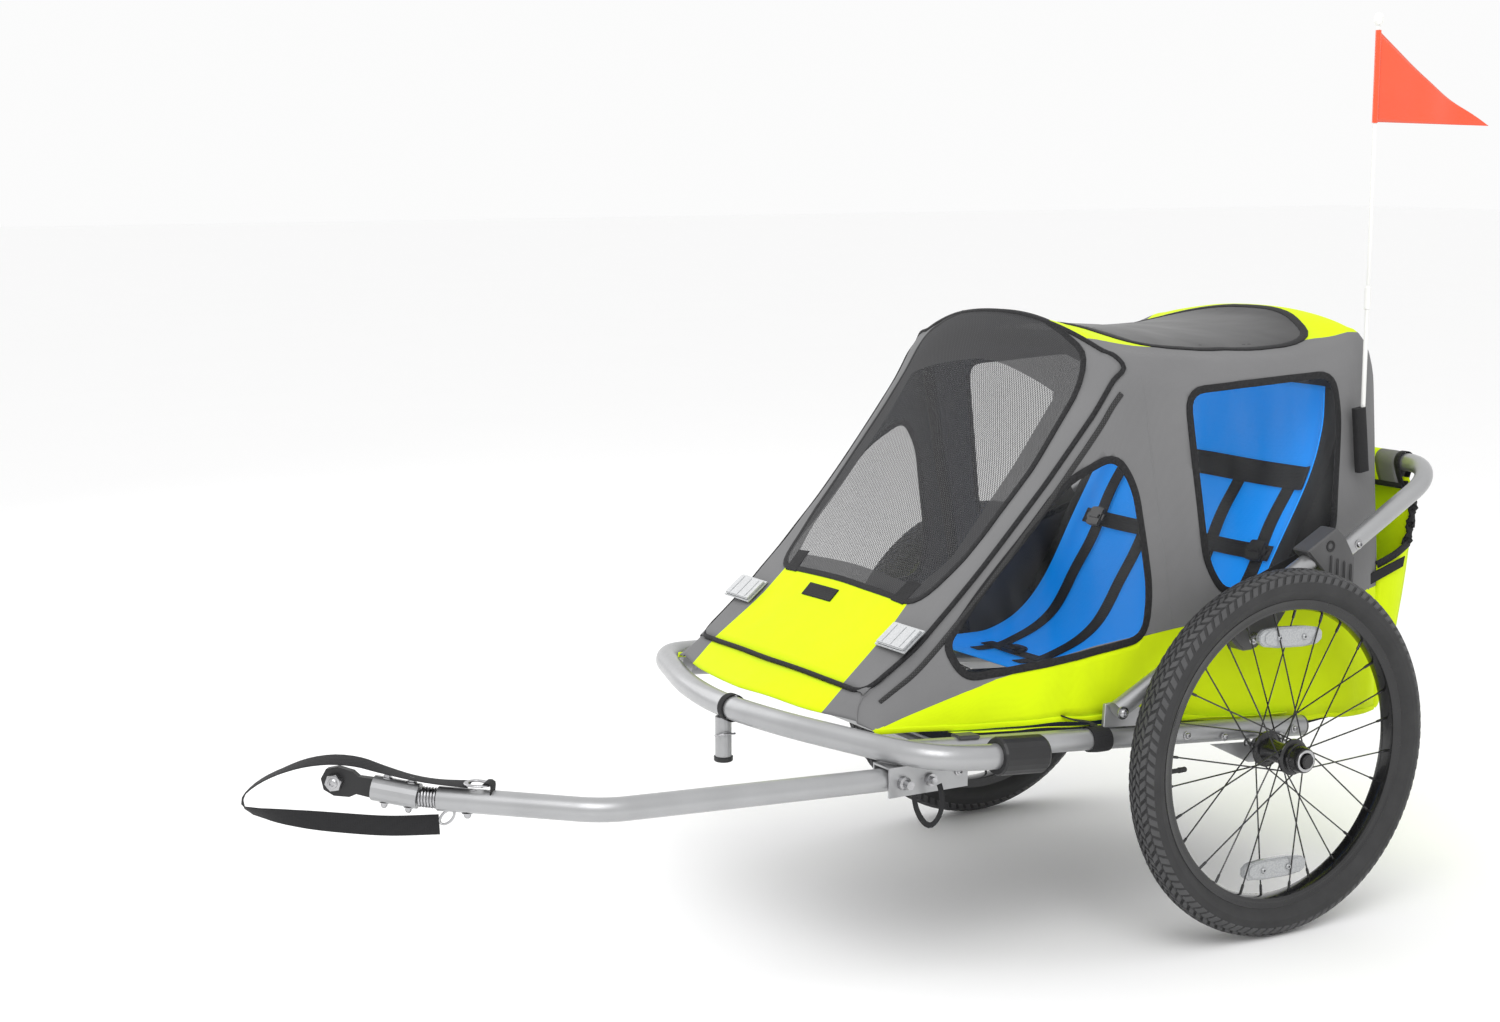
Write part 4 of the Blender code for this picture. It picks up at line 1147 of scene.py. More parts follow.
# ---------------------------------------------------------------- seams and flaps of the cabin
def make_seams():
    for side, sign in SIDES:
        line = [(y, between(y, SIDE_LINE)) for y in [-0.575 + 0.012 * k for k in range(69)]]
        points, normals = laid([(sign * 0.5, y, z) for y, z in line], (-sign, 0, 0), 0.0004)
        seam = band(f"side_seam_{side}", points, normals, 0.0028, 0.0010, "grey")
        on(seam, "trailer", "grey_fabric", True)
        hoop = [(-0.121 - 0.050 * k / 24, 0.425 + 0.330 * k / 24) for k in range(25)]
        points, normals = laid([(sign * 0.5, y, z) for y, z in hoop], (-sign, 0, 0), 0.0003)
        seam = band(f"hoop_seam_{side}", points, normals, 0.0022, 0.0012, "grey")
        on(seam, "trailer", "grey_fabric", True)
        make_lower_hem(side, sign)
        make_side_zip(side, sign)
        make_under_flap(side, sign)
    tape = [(0.212 - 0.424 * k / 40, 0.6, 0.690) for k in range(41)]
    points, normals = laid(tape, (0, -1, 0), 0.0012)
    strip = band("rear_zip", points, normals, 0.0140, 0.0026, "zip_tape")
    on(strip, "trailer", "webbing", True)


def make_lower_hem(side, sign):
    """The folded lower edge of the side cloth."""
    column = 0 if sign > 0 else -1
    edge = [row[column] + Vector((sign * 0.0002, 0, 0.001)) for row in cabin[::3]]
    route = smooth_route(edge, 0.012)
    hem = band(f"lower_hem_{side}", route, [Vector((sign, 0, 0))] * len(route), 0.0070, 0.0036, "neon")
    on(hem, "trailer", "neon_fabric", True)


def make_under_flap(side, sign):
    """Loose scalloped flap between the side's lower edge and the rail."""
    rows = []
    count = 64
    for k in range(count + 1):
        y = -0.480 + 0.560 * k / count
        top = 0.3155 - 0.09 * (y + 0.410)
        rail_top = RAIL_Z - SLOPE * y + RAIL_R
        wave = 0.5 + 0.5 * math.cos(2 * math.pi * k / 16)
        low = max(rail_top + 0.0012, rail_top + 0.0030 * wave)
        row = []
        for j in range(5):
            t = j / 4
            x = sign * (BODY_X - 0.006 + 0.014 * t + 0.002 * wave * math.sin(math.pi * t))
            row.append(Vector((x, y, top + (low - top) * t)))
        rows.append(row)
    flap = sheet_piece(f"under_flap_{side}", rows, "neon", 0.0010)
    on(flap, "trailer", "neon_fabric", True)


# ---------------------------------------------------------------- seat and harness
SEAT_LINE = [(-0.158, 0.3085), (-0.110, 0.3065), (-0.062, 0.3100), (-0.004, 0.3350),
             (0.048, 0.3880), (0.105, 0.4870), (0.163, 0.5890), (0.186, 0.6600), (0.189, 0.7200)]
seat_route = smooth_route([(0, y, z) for y, z in SEAT_LINE], 0.009)
seat_off = [Vector((0, -t.z, t.y)) for t in tangents(seat_route)]


def seat_index(height):
    """The point of the seat's back that is nearest to a height."""
    back = range(len(seat_route) // 3, len(seat_route))
    return min(back, key=lambda k: abs(seat_route[k].z - height))


def seat_sag(x, k):
    """Each child's hollow, deepest where the seat folds."""
    hollow = math.cos(min(1.0, abs(abs(x) - 0.11) / 0.11) * math.pi / 2) ** 2
    share = k / (len(seat_route) - 1)
    return 0.0060 * hollow * math.sin(math.pi * share)


def seat_point(x, k, off=0.0):
    edge = max(0.0, abs(x) - 0.196) / 0.030
    rise = 0.020 * min(edge, 1.0) ** 2
    sag = seat_sag(x, k)
    return seat_route[k] + Vector((x, 0, 0)) + seat_off[k] * (rise - sag + off)


def make_seat():
    columns = 48
    rows = []
    for k in range(len(seat_route)):
        rows.append([seat_point(SEAT_X * (2 * c / columns - 1), k) for c in range(columns + 1)])
    seat = sheet_piece("seat_cloth", rows, "blue", 0.0020)
    on(seat, "trailer", "blue_fabric", True, "seat")
    for side, sign in SIDES:
        rows = []
        for k in range(seat_index(0.335), len(seat_route)):
            inner = seat_point(sign * SEAT_X, k, -0.001)
            turn = Vector((sign * 0.2455, inner.y + 0.004, inner.z))
            back = Vector((sign * 0.2410, max(0.2180, inner.y + 0.006), inner.z - 0.010))
            rows.append([inner] + [turn.lerp(back, j / 8) for j in range(9)])
        wall = sheet_piece(f"seat_side_panel_{side}", rows, "charcoal")
        on(wall, "trailer", "webbing", True)
    make_harnesses()


def strap_up_seat(name, x, first, last, width, *nodes):
    indexes = list(range(first, last + 1))
    route = [seat_point(x + 0.003 * math.sin(k * 0.4), k, 0.0030) for k in indexes]
    strap = band(name, route, [seat_off[k] for k in indexes], width, 0.0019, "webbing")
    on(strap, "trailer", "webbing", True, *nodes)


def strap_across_seat(name, x0, x1, k, width):
    count = max(4, round(abs(x1 - x0) / 0.015))
    route = [seat_point(x0 + (x1 - x0) * i / count, k, 0.0048) for i in range(count + 1)]
    strap = band(name, route, [seat_off[k]] * len(route), width, 0.0019, "webbing")
    on(strap, "trailer", "webbing", True)


def make_harnesses():
    top = seat_index(0.590)
    strap_across_seat("harness_top_band", -0.216, 0.216, top, 0.036)
    for side, sign in SIDES:
        centre = sign * 0.125
        for part, across in (("inner", -0.052 * sign), ("outer", 0.052 * sign)):
            nodes = (f"harness_{side}",) if part == "outer" else ()
            strap_up_seat(f"shoulder_strap_{side}_{part}", centre + across, 3, top, 0.024, *nodes)
        cross = seat_index(0.490)
        strap_across_seat(f"chest_strap_{side}", centre - 0.080, centre + 0.080, cross, 0.024)
        strap_across_seat(f"lap_strap_{side}", centre - 0.070, centre + 0.070, 7, 0.024)
        make_buckle(f"chest_buckle_{side}", centre + 0.052 * sign, cross, (f"buckle_{side}",))
        make_buckle(f"crotch_buckle_{side}", centre, 7, ())


def make_buckle(name, x, k, nodes):
    """A side-release buckle: a waisted body, two prongs and a raised middle bar."""
    across = Vector((1, 0, 0))
    out = seat_off[k]
    up = out.cross(across)
    centre = seat_point(x, k, 0.0062)
    bm = bmesh.new()
    body = [(-0.015, -0.014), (-0.005, -0.0155), (0.005, -0.0155), (0.015, -0.014),
            (0.015, 0.014), (0.005, 0.0155), (-0.005, 0.0155), (-0.015, 0.014)]
    slab(bm, [centre + across * a + up * b for a, b in body], out * 0.0068, 0.0016)
    bar = [(-0.011, -0.0035), (0.011, -0.0035), (0.011, 0.0035), (-0.011, 0.0035)]
    slab(bm, [centre + across * a + up * b + out * 0.0060 for a, b in bar], out * 0.0030, 0.0010)
    for side in (-1, 1):
        prong = [(side * 0.014, -0.0065), (side * 0.0200, -0.0045), (side * 0.0200, 0.0045),
                 (side * 0.014, 0.0065)]
        slab(bm, [centre + across * a + up * b + out * 0.0012 for a, b in prong], out * 0.0040, 0.0010)
    buckle = finish_mesh(name, bm, "black_plastic", 30)
    on(buckle, "trailer", "black_plastic", True, *nodes)


# ---------------------------------------------------------------- rear bag
BAG_X = 0.238
BAG_LINE = [(0.3270, 0.5850), (0.3370, 0.5550), (0.3340, 0.5000), (0.3230, 0.4200),
            (0.3060, 0.3300), (0.2900, 0.2720), (0.2800, 0.2560), (0.2700, 0.2600)]
bag_pieces = []


def bag_piece(obj, slot, *nodes):
    if nodes:
        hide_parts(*nodes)
    bag_pieces.append(obj)
    return obj


def make_bag():
    """The bag's rear panel, sides and the sleeve that wraps the push bar."""
    profile = smooth_route([(0, y, z) for y, z in BAG_LINE], 0.010)
    columns = 40
    rows = []
    for p in profile:
        row = []
        for c in range(columns + 1):
            x = BAG_X * (2 * c / columns - 1)
            height = (p.z - 0.25) / 0.33
            sag = 0.007 * math.sin(math.pi * min(max(height, 0), 1)) * math.cos(math.pi * x / BAG_X / 2)
            fold = 0.0022 * noise.noise(Vector((x * 26, 0, p.z * 8)))
            row.append(Vector((x, p.y + sag * 0.5 + fold, p.z + 0.10 * sag)))
        rows.append(row)
    panel = sheet_piece("bag_rear_panel", rows, "neon", 0.0016)
    bag_piece(baked(panel), "neon_fabric", "rear_bag")
    for side, sign in SIDES:
        make_bag_side(side, sign, profile)
    make_bar_sleeve()


def make_bag_side(side, sign, profile):
    """One side panel with its hem, the gathered rear edge and a fastening tab."""
    low = [p for p in profile if p.z < 0.492]
    rows = []
    for p in low:
        front_z = 0.262 + (p.z - 0.2555) * (0.466 - 0.262) / (0.491 - 0.2555)
        front = Vector((sign * 0.2470, 0.262, front_z))
        rear_edge = Vector((sign * BAG_X, p.y, p.z))
        row = []
        for j in range(9):
            t = j / 8
            q = front.lerp(rear_edge, t)
            q.x += sign * 0.005 * math.sin(math.pi * t)
            row.append(q)
        rows.append(row)
    wall = sheet_piece(f"bag_side_{side}", rows, "neon", 0.0014)
    bag_piece(baked(wall), "neon_fabric")
    route = smooth_route(rows[0], 0.006)
    hem = band(f"bag_side_hem_{side}", route, [Vector((sign, 0, 0))] * len(route), 0.0110, 0.0032,
               "binding")
    bag_piece(hem, "webbing")
    edge = []
    gathers = 44
    source = smooth_route([(sign * BAG_X, 0.3300, 0.5720), (sign * BAG_X, 0.3370, 0.5500),
                           (sign * BAG_X, 0.3350, 0.5150), (sign * BAG_X, 0.3270, 0.4880)], 0.0025)
    for k in range(gathers + 1):
        p = source[round(k / gathers * (len(source) - 1))].copy()
        p.x += sign * 0.0030 * math.sin(k * 1.6)
        p.y += 0.0022 * math.cos(k * 1.1)
        edge.append(p)
    gather = band(f"bag_gathered_edge_{side}", edge, [Vector((sign, 0, 0))] * len(edge), 0.0120, 0.0050,
                  "binding")
    bag_piece(gather, "webbing")
    tab = [(0.2440, 0.4400), (0.3080, 0.4610), (0.3110, 0.4760), (0.2440, 0.4560)]
    tab = [Vector((sign * 0.2520, y, z)) for y, z in tab]
    tab = slab_piece(f"bag_tab_{side}", tab, (sign * 0.0018, 0, 0), "webbing", 0.0006)
    bag_piece(tab, "webbing")


def sleeve_loop(x, radius):
    """One loop of the sleeve: round the bar's top and back, and down to a lower hem."""
    y, z = HANDLE_TOP
    loop = []
    for k in range(17):
        a = math.radians(205 - 230 * k / 16)
        loop.append(Vector((x, y + radius * math.cos(a), z + radius * math.sin(a))))
    drop = 0.034
    loop.append(Vector((x, y + 0.0085, z - drop * 0.55)))
    loop.append(Vector((x, y + 0.0030, z - drop)))
    loop.append(Vector((x, y - 0.0030, z - drop)))
    loop.append(Vector((x, y - 0.0100, z - drop * 0.55)))
    return loop


def make_bar_sleeve():
    radius = HANDLE_R + 0.0016
    count = 60
    spans = (("sleeve_middle", -0.188, 0.188, "neon", "neon_fabric"),
             ("sleeve_end_left", 0.188, 0.226, "grey", "grey_fabric"),
             ("sleeve_end_right", -0.226, -0.188, "grey", "grey_fabric"),
             ("sleeve_binding_left", 0.226, 0.236, "binding", "webbing"),
             ("sleeve_binding_right", -0.236, -0.226, "binding", "webbing"))
    for name, low, high, look, slot in spans:
        steps = max(3, round(count * (high - low) / 0.45))
        rows = []
        for k in range(steps + 1):
            x = low + (high - low) * k / steps
            ripple = 0.0007 * noise.noise(Vector((x * 60, 1, 0)))
            extra = 0.0012 if look == "binding" else 0.0
            rows.append(sleeve_loop(x, radius + ripple + extra))
        bm = bmesh.new()
        grid(bm, rows, close_columns=True)
        sleeve = thicken(finish_mesh(name, bm, look), 0.0010, -1.0)
        on(sleeve, "rear_frame", slot)
    y, z = HANDLE_TOP
    route = [Vector((0.232 - 0.464 * k / 40, y - 0.0012, z - 0.0345)) for k in range(41)]
    strip = band("sleeve_hem", route, [Vector((0, -1, 0))] * 41, 0.0090, 0.0080, "webbing")
    on(strip, "rear_frame", "webbing")


# ---------------------------------------------------------------- wheels
def tyre_profile():
    """Half of the tyre's outline, from its bead to its crown, with side-wall ribs: u, radius."""
    w = TYRE_HALF_W
    crown = WHEEL_R - 0.0030
    return [(0.0120, 0.2075), (0.0150, 0.2120), (w - 0.0032, 0.2165), (w - 0.0012, 0.2205),
            (w - 0.0002, 0.2240), (w + 0.0002, 0.2252), (w - 0.0004, 0.2262), (w - 0.0002, 0.2310),
            (w - 0.0020, 0.2355), (w - 0.0050, 0.2400), (w - 0.0090, 0.2435), (0.0100, 0.2456),
            (0.0050, crown - 0.0003), (0.0, crown)]


def tyre_surface(u):
    """Radius of the tread's base at a distance from the wheel's plane."""
    outer = sorted((p for p in tyre_profile() if p[1] > 0.2300), key=lambda p: p[0])
    return between(abs(u), outer)


def make_tyre(side, sign):
    centre = Vector((sign * WHEEL_X, 0, WHEEL_R))
    half = tyre_profile()
    profile = half + [(-u, r) for u, r in half[:-1]][::-1]
    bm = bmesh.new()
    add_turned(bm, profile, centre, (sign, 0, 0), 128)
    tyre = finish_mesh(f"tyre_wall_{side}", bm, "tyre", 50)
    on(tyre, f"wheel_{side}", "tyre", False, f"tyre_{side}")
    tread = finish_mesh(f"tyre_tread_{side}", tread_blocks(centre, sign), "tread", 30)
    on(tread, f"wheel_{side}", "tyre")


def tread_blocks(centre, sign):
    """Rows of slanted blocks round the tyre, alternate rows leaning alternate ways."""
    bm = bmesh.new()
    around = 104
    lanes = [(-0.0218, -0.0165), (-0.0155, -0.0095), (-0.0088, -0.0034), (-0.0026, 0.0026),
             (0.0034, 0.0088), (0.0095, 0.0155), (0.0165, 0.0218)]
    for lane, (low, high) in enumerate(lanes):
        lean = 0.26 if lane % 2 else -0.26
        height = 0.0029 if abs(low) < 0.015 else 0.0024
        for k in range(around):
            mid = (k + 0.5 * (lane % 2)) / around
            corners = []
            for u, t in ((low, -0.34), (high, -0.34), (high, 0.34), (low, 0.34)):
                slant = lean * (1 if u == high else -1)
                corners.append((u, 2 * math.pi * (mid + (t + slant) / around)))
            add_block(bm, centre, sign, corners, height)
    return bm


def add_block(bm, centre, sign, corners, height):
    low, high = [], []
    mean_u = sum(u for u, _ in corners) / 4
    mean_a = sum(a for _, a in corners) / 4
    for u, a in corners:
        radius = tyre_surface(u)
        radial = Vector((0, math.sin(a), math.cos(a)))
        low.append(bm.verts.new(centre + radial * (radius - 0.0010) + Vector((sign * u, 0, 0))))
        tu, ta = u + (mean_u - u) * 0.14, a + (mean_a - a) * 0.14
        radial = Vector((0, math.sin(ta), math.cos(ta)))
        slope = 0.55 * height * max(0.0, abs(tu) - 0.012) / 0.010
        top = radius + height * (1.0 - 0.45 * max(0.0, abs(tu) - 0.012) / 0.010)
        outward = math.copysign(slope, tu)
        high.append(bm.verts.new(centre + radial * min(top, WHEEL_R) + Vector((sign * (tu + outward), 0, 0))))
    for k in range(4):
        m = (k + 1) % 4
        bm.faces.new((low[k], low[m], high[m], high[k]))
    bm.faces.new(high)
    bm.faces.new(low[::-1])


def make_rim(side, sign):
    """Box-section rim with a rolled bead hook."""
    centre = Vector((sign * WHEEL_X, 0, WHEEL_R))
    profile = [(-0.0128, 0.2105), (-0.0142, 0.2098), (-0.0142, 0.2084), (-0.0136, 0.2076),
               (-0.0136, 0.2010), (-0.0120, 0.1968), (-0.0080, 0.1950), (0.0, 0.1946),
               (0.0080, 0.1950), (0.0120, 0.1968), (0.0136, 0.2010), (0.0136, 0.2076),
               (0.0142, 0.2084), (0.0142, 0.2098), (0.0128, 0.2105), (0.0100, 0.2050),
               (-0.0100, 0.2050)]
    bm = bmesh.new()
    add_turned(bm, profile, centre, (sign, 0, 0), 128)
    rim = finish_mesh(f"rim_alloy_{side}", bm, "gloss_black", 40)
    on(rim, f"wheel_{side}", "black_alloy", False, f"rim_{side}")


def radial_at(angle):
    return Vector((0, math.sin(angle), math.cos(angle)))


def make_hub(side, sign):
    """Quick-release hub shell, crossed spokes with nipples, and the valve."""
    centre = Vector((sign * WHEEL_X, 0, WHEEL_R))
    shell = [(-0.0330, 0), (-0.0330, 0.0120), (-0.0300, 0.0135), (-0.0275, 0.0150),
             (-0.0270, 0.0238), (-0.0262, 0.0245), (-0.0228, 0.0245), (-0.0220, 0.0236),
             (-0.0200, 0.0170), (-0.0150, 0.0150), (-0.0060, 0.0142), (0.0060, 0.0142),
             (0.0150, 0.0150), (0.0200, 0.0170), (0.0220, 0.0236), (0.0228, 0.0245),
             (0.0262, 0.0245), (0.0270, 0.0238), (0.0282, 0.0205), (0.0300, 0.0205),
             (0.0305, 0.0188), (0.0325, 0.0188), (0.0330, 0.0200), (0.0350, 0.0200),
             (0.0355, 0.0182), (0.0400, 0.0178), (0.0480, 0.0168), (0.0498, 0.0158),
             (0.0500, 0.0125), (0.0490, 0.0105), (0.0405, 0.0105), (0.0405, 0)]
    hub = turned(f"hub_shell_{side}", shell, centre, (sign, 0, 0), "gloss_black", 48)
    on(hub, f"wheel_{side}", "black_alloy", False, f"hub_{side}")
    ring = [(0.0496, 0.0108), (0.0503, 0.0112), (0.0506, 0.0128), (0.0503, 0.0146), (0.0496, 0.0150)]
    ring = turned(f"hub_ring_{side}", ring, centre, (sign, 0, 0), "machined", 40)
    on(ring, f"wheel_{side}", "black_alloy")
    bm = bmesh.new()
    for k in range(SPOKES):
        rim_angle = 2 * math.pi * (k + 0.5) / SPOKES
        flange = 0.0245 if k % 2 else -0.0245
        turn = math.radians(66) if (k // 2) % 2 else -math.radians(66)
        inner = centre + radial_at(rim_angle + turn) * 0.0212 + Vector((sign * flange, 0, 0))
        outer = centre + radial_at(rim_angle) * 0.1952 + Vector((sign * flange * 0.12, 0, 0))
        along = outer - inner
        head = Vector((math.copysign(0.0035, sign * flange), 0, 0))
        add_turned(bm, [(0, 0), (0, 0.00105), (along.length, 0.00105), (along.length, 0)], inner, along, 7)
        add_turned(bm, [(0, 0), (0, 0.0022), (0.0035, 0.0016), (0.0035, 0)], inner + head * 0.4, -head, 7)
        nipple = [(0, 0), (0, 0.0015), (0.0020, 0.0019), (0.0140, 0.0019), (0.0140, 0)]
        add_turned(bm, nipple, outer - along.normalized() * 0.0138, along, 8)
    spokes = finish_mesh(f"spokes_{side}", bm, "gloss_black", 50)
    on(spokes, f"wheel_{side}", "black_alloy")
    make_valve(side, centre)
    for where, angle in (("upper", 0.06), ("lower", math.pi + 0.03)):
        make_spoke_reflector(side, where, centre, sign, angle)


def make_valve(side, centre):
    """Rubber valve stem with its ribbed cap, standing on the rim in front of the hub."""
    inward = -radial_at(-math.pi / 2)
    start = centre - inward * 0.1960
    profile = [(0, 0), (0, 0.0042), (0.0050, 0.0040), (0.0080, 0.0032), (0.0200, 0.0031),
               (0.0205, 0.0038), (0.0230, 0.0038), (0.0235, 0.0034), (0.0255, 0.0038),
               (0.0260, 0.0034), (0.0310, 0.0037), (0.0325, 0.0030), (0.0325, 0)]
    valve = turned(f"valve_{side}", profile, start, inward, "rubber", 14)
    on(valve, f"wheel_{side}", "rubber")


def make_spoke_reflector(side, where, centre, sign, angle):
    """Long clear reflector clipped between two spokes, with a lens on each face."""
    radial = radial_at(angle)
    along = radial.cross(Vector((1, 0, 0))).normalized()
    middle = centre + radial * 0.1580
    outline = []
    half_l, half_h = 0.0560, 0.0140
    for a, b in ((-1, -0.35), (-0.86, -0.80), (-0.40, -1), (0.40, -1), (0.86, -0.80), (1, -0.35),
                 (1, 0.35), (0.86, 0.80), (0.40, 1), (-0.40, 1), (-0.86, 0.80), (-1, 0.35)):
        outline.append(middle + along * a * half_l + radial * b * half_h)
    out = Vector((sign, 0, 0))
    bm = bmesh.new()
    slab(bm, [p - out * 0.0040 for p in outline], out * 0.0080, 0.0014)
    inner = [middle + (p - middle) * 0.84 for p in outline]
    slab(bm, [p + out * 0.0036 for p in inner], out * 0.0016, 0.0006)
    slab(bm, [p - out * 0.0052 for p in inner], out * 0.0016, 0.0006)
    for k in (-1, 1):
        ring = [(0, 0.0030), (0.0020, 0.0042), (0.0034, 0.0030), (0.0034, 0.0018)]
        add_turned(bm, ring, middle + along * k * 0.0220 + out * 0.0046, out, 14)
    lens = finish_mesh(f"spoke_reflector_{side}_{where}", bm, "prismatic", 30)
    on(lens, f"wheel_{side}", "reflector")


# ---------------------------------------------------------------- small hardware
def add_bolt(bm, at, axis, radius=0.0055, head=0.0040):
    """Button-head screw with a washer and a hexagonal recess."""
    washer = [(0, 0), (0, radius * 1.45), (0.0010, radius * 1.45), (0.0012, radius * 1.30), (0.0012, 0)]
    add_turned(bm, washer, at, axis, 20)
    dome = [(0.0010, 0), (0.0010, radius), (0.0010 + head * 0.55, radius * 0.94),
            (0.0010 + head * 0.9, radius * 0.70), (0.0010 + head, radius * 0.48),
            (0.0010 + head * 0.45, radius * 0.42), (0.0010 + head * 0.45, 0)]
    add_turned(bm, dome, at, axis, 18)


def bolts(name, body, spots, radius=0.0055, head=0.0040):
    bm = bmesh.new()
    for at, axis in spots:
        add_bolt(bm, at, axis, radius, head)
    made = finish_mesh(name, bm, "zinc", 35)
    return on(made, body, "zinc")


def rail_z(y):
    return RAIL_Z - SLOPE * y


def make_frame_hardware():
    for side, sign in SIDES:
        out = Vector((sign, 0, 0))
        rail_side = sign * (RAIL_X + RAIL_R)
        plate = sign * 0.2962
        spots = [((plate, -0.056, 0.2690), out), ((plate, 0.044, 0.2560), out),
                 ((plate, -0.016, 0.2560), out), ((rail_side, 0.072, rail_z(0.072)), out),
                 ((rail_side, -0.120, rail_z(-0.120)), out)]
        bolts(f"rail_bolts_{side}", "trailer", spots, 0.0042, 0.0032)
        pivot = (sign * 0.3132, LEG_FOOT[0], LEG_FOOT[1])
        bolts(f"leg_pivot_bolt_{side}", "rear_frame", [(pivot, out)], 0.0060, 0.0046)
        run = Vector((0, HANDLE_TOP[0] - HANDLE_START[0], HANDLE_TOP[1] - HANDLE_START[1])).normalized()
        spot = Vector((sign * (HANDLE_X + HANDLE_R - 0.0004), *HANDLE_START)) + run * 0.036
        bolts(f"bar_bolt_{side}", "rear_frame", [(spot, out)], 0.0048, 0.0036)
        make_rail_plug(side, sign)
        make_rail_strap(side, sign)
        make_rail_clip(side, sign)
        make_clamp_ribs(side, sign)
        make_leg_stop(side, sign)
    clips = [((0.3090, -0.500, 0.286), Vector((1, 0, 0)))]
    bolts("bracket_bolt", "trailer", clips, 0.0040, 0.0034)
    make_socket_pin()


def make_rail_plug(side, sign):
    """Domed end plug in the open rear end of the rail."""
    end = Vector((sign * RAIL_X, 0.095, rail_z(0.095)))
    axis = Vector((0, 1, -SLOPE)).normalized()
    profile = [(0.0002, 0), (0.0002, RAIL_R), (0.0030, RAIL_R), (0.0052, RAIL_R * 0.85),
               (0.0064, RAIL_R * 0.5), (0.0067, 0)]
    plug = turned(f"rail_plug_{side}", profile, end, axis, "moulded", 32)
    on(plug, "trailer", "moulded_grey")


def make_rail_strap(side, sign):
    """Webbing loop round the rail that ties down the cloth's lower edge."""
    bm = bmesh.new()
    rows = []
    for k in range(9):
        y = -0.2770 + 0.0310 * k / 8
        bulge = 0.0024 + 0.0008 * math.sin(math.pi * k / 8)
        ring = []
        for j in range(28):
            a = 2 * math.pi * j / 28
            ring.append(Vector((sign * RAIL_X + (RAIL_R + bulge) * math.cos(a), y,
                                rail_z(y) + (RAIL_R + bulge) * math.sin(a))))
        rows.append(ring)
    grid(bm, rows, close_columns=True)
    loop = thicken(finish_mesh(f"rail_strap_{side}", bm, "webbing"), 0.0016, -1.0)
    on(loop, "trailer", "webbing")
    tail = [(sign * (RAIL_X - 0.002), -0.262, rail_z(-0.262) + RAIL_R + 0.002),
            (sign * (RAIL_X - 0.010), -0.268, rail_z(-0.262) + RAIL_R + 0.007),
            (sign * (BODY_X + 0.004), -0.290, 0.3160), (sign * (BODY_X + 0.001), -0.306, 0.3220)]
    route = smooth_route(tail, 0.004)
    strap = band(f"rail_strap_tail_{side}", route, [Vector((0, 0.2, 1))] * len(route), 0.0240, 0.0018,
                 "webbing")
    on(strap, "trailer", "webbing")


def make_rail_clip(side, sign):
    """Small moulded clip on the rail, near the bumper."""
    z = rail_z(-0.470) + RAIL_R - 0.0012
    outline = [(sign * 0.2700, -0.4860, z), (sign * 0.2900, -0.4860, z),
               (sign * 0.2900, -0.4540, z - 0.0022), (sign * 0.2700, -0.4540, z - 0.0022)]
    clip = slab_piece(f"rail_clip_{side}", outline, (0, 0, 0.0055), "moulded", 0.0014)
    on(clip, "trailer", "moulded_grey")


def make_clamp_ribs(side, sign):
    """Ribs and a button hole on the outside of the moulded clamp; the collar at its mouth is not drawn."""
    low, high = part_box(f"leg_clamp_{side}")
    outside = (high.x if sign > 0 else low.x) - sign * 0.0006
    bm = bmesh.new()
    for k in range(4):
        y = 0.1040 + 0.0122 * k
        top = 0.5030 - 0.40 * (y - 0.104)
        outline = [(outside, y, 0.4665), (outside, y + 0.0062, 0.4665), (outside, y + 0.0062, top),
                   (outside, y, top + 0.002)]
        slab(bm, [Vector(p) for p in outline], Vector((sign * 0.0034, 0, 0)), 0.0014)
    ribs = finish_mesh(f"clamp_ribs_{side}", bm, "moulded", 35)
    on(ribs, "rear_frame", "moulded_grey")
    hole = [(0, 0), (0, 0.0078), (0.0014, 0.0078), (0.0018, 0.0068), (0.0008, 0.0056), (0.0002, 0)]
    eye = turned(f"clamp_button_{side}", hole, (outside, 0.104, 0.5170), (sign, 0, 0), "black_plastic", 28)
    on(eye, "rear_frame", "black_plastic")


def make_leg_stop(side, sign):
    """Moulded stop round the leg with its cross bolt."""
    outline = [(-0.066, 0.4060), (-0.060, 0.4250), (0.026, 0.4560), (0.036, 0.4400), (0.010, 0.4080),
               (-0.024, 0.3880), (-0.046, 0.3880)]
    x0 = sign * (HANDLE_X - 0.0150)
    points = [Vector((x0, y, z)) for y, z in outline]
    bm = bmesh.new()
    slab(bm, points, Vector((sign * 0.0300, 0, 0)), 0.0040, 3)
    stop = finish_mesh(f"leg_stop_{side}", bm, "moulded", 35)
    on(stop, "rear_frame", "moulded_grey")
    spot = (sign * (HANDLE_X + 0.0148), -0.028, 0.4040)
    bolts(f"leg_stop_bolt_{side}", "rear_frame", [(spot, Vector((sign, 0, 0)))], 0.0056, 0.0042)


def make_socket_pin():
    """Wire clip through the front socket."""
    y = -0.660
    route = smooth_route([(0.0, y - 0.0125, 0.2850), (0.010, y - 0.016, 0.2870), (0.0155, y - 0.006, 0.2890),
                          (0.0150, y + 0.008, 0.2880), (0.006, y + 0.0135, 0.2860)], 0.003)
    on(wire("socket_clip", route, 0.0013, "zinc"), "trailer", "zinc")
    strap_x = 0.020
    z = BUMPER_Z - SLOPE * -0.657
    bm = bmesh.new()
    rows = []
    for k in range(7):
        x = strap_x + 0.0120 * (k / 6 - 0.5)
        rows.append([Vector((x, -0.6590 + (BUMPER_R + 0.0012) * math.cos(a),
                             z + (BUMPER_R + 0.0012) * math.sin(a)))
                     for a in [2 * math.pi * j / 30 for j in range(30)]])
    grid(bm, rows, close_columns=True)
    loop = thicken(finish_mesh("bumper_strap", bm, "webbing"), 0.0014, 1.0)
    on(loop, "trailer", "webbing")


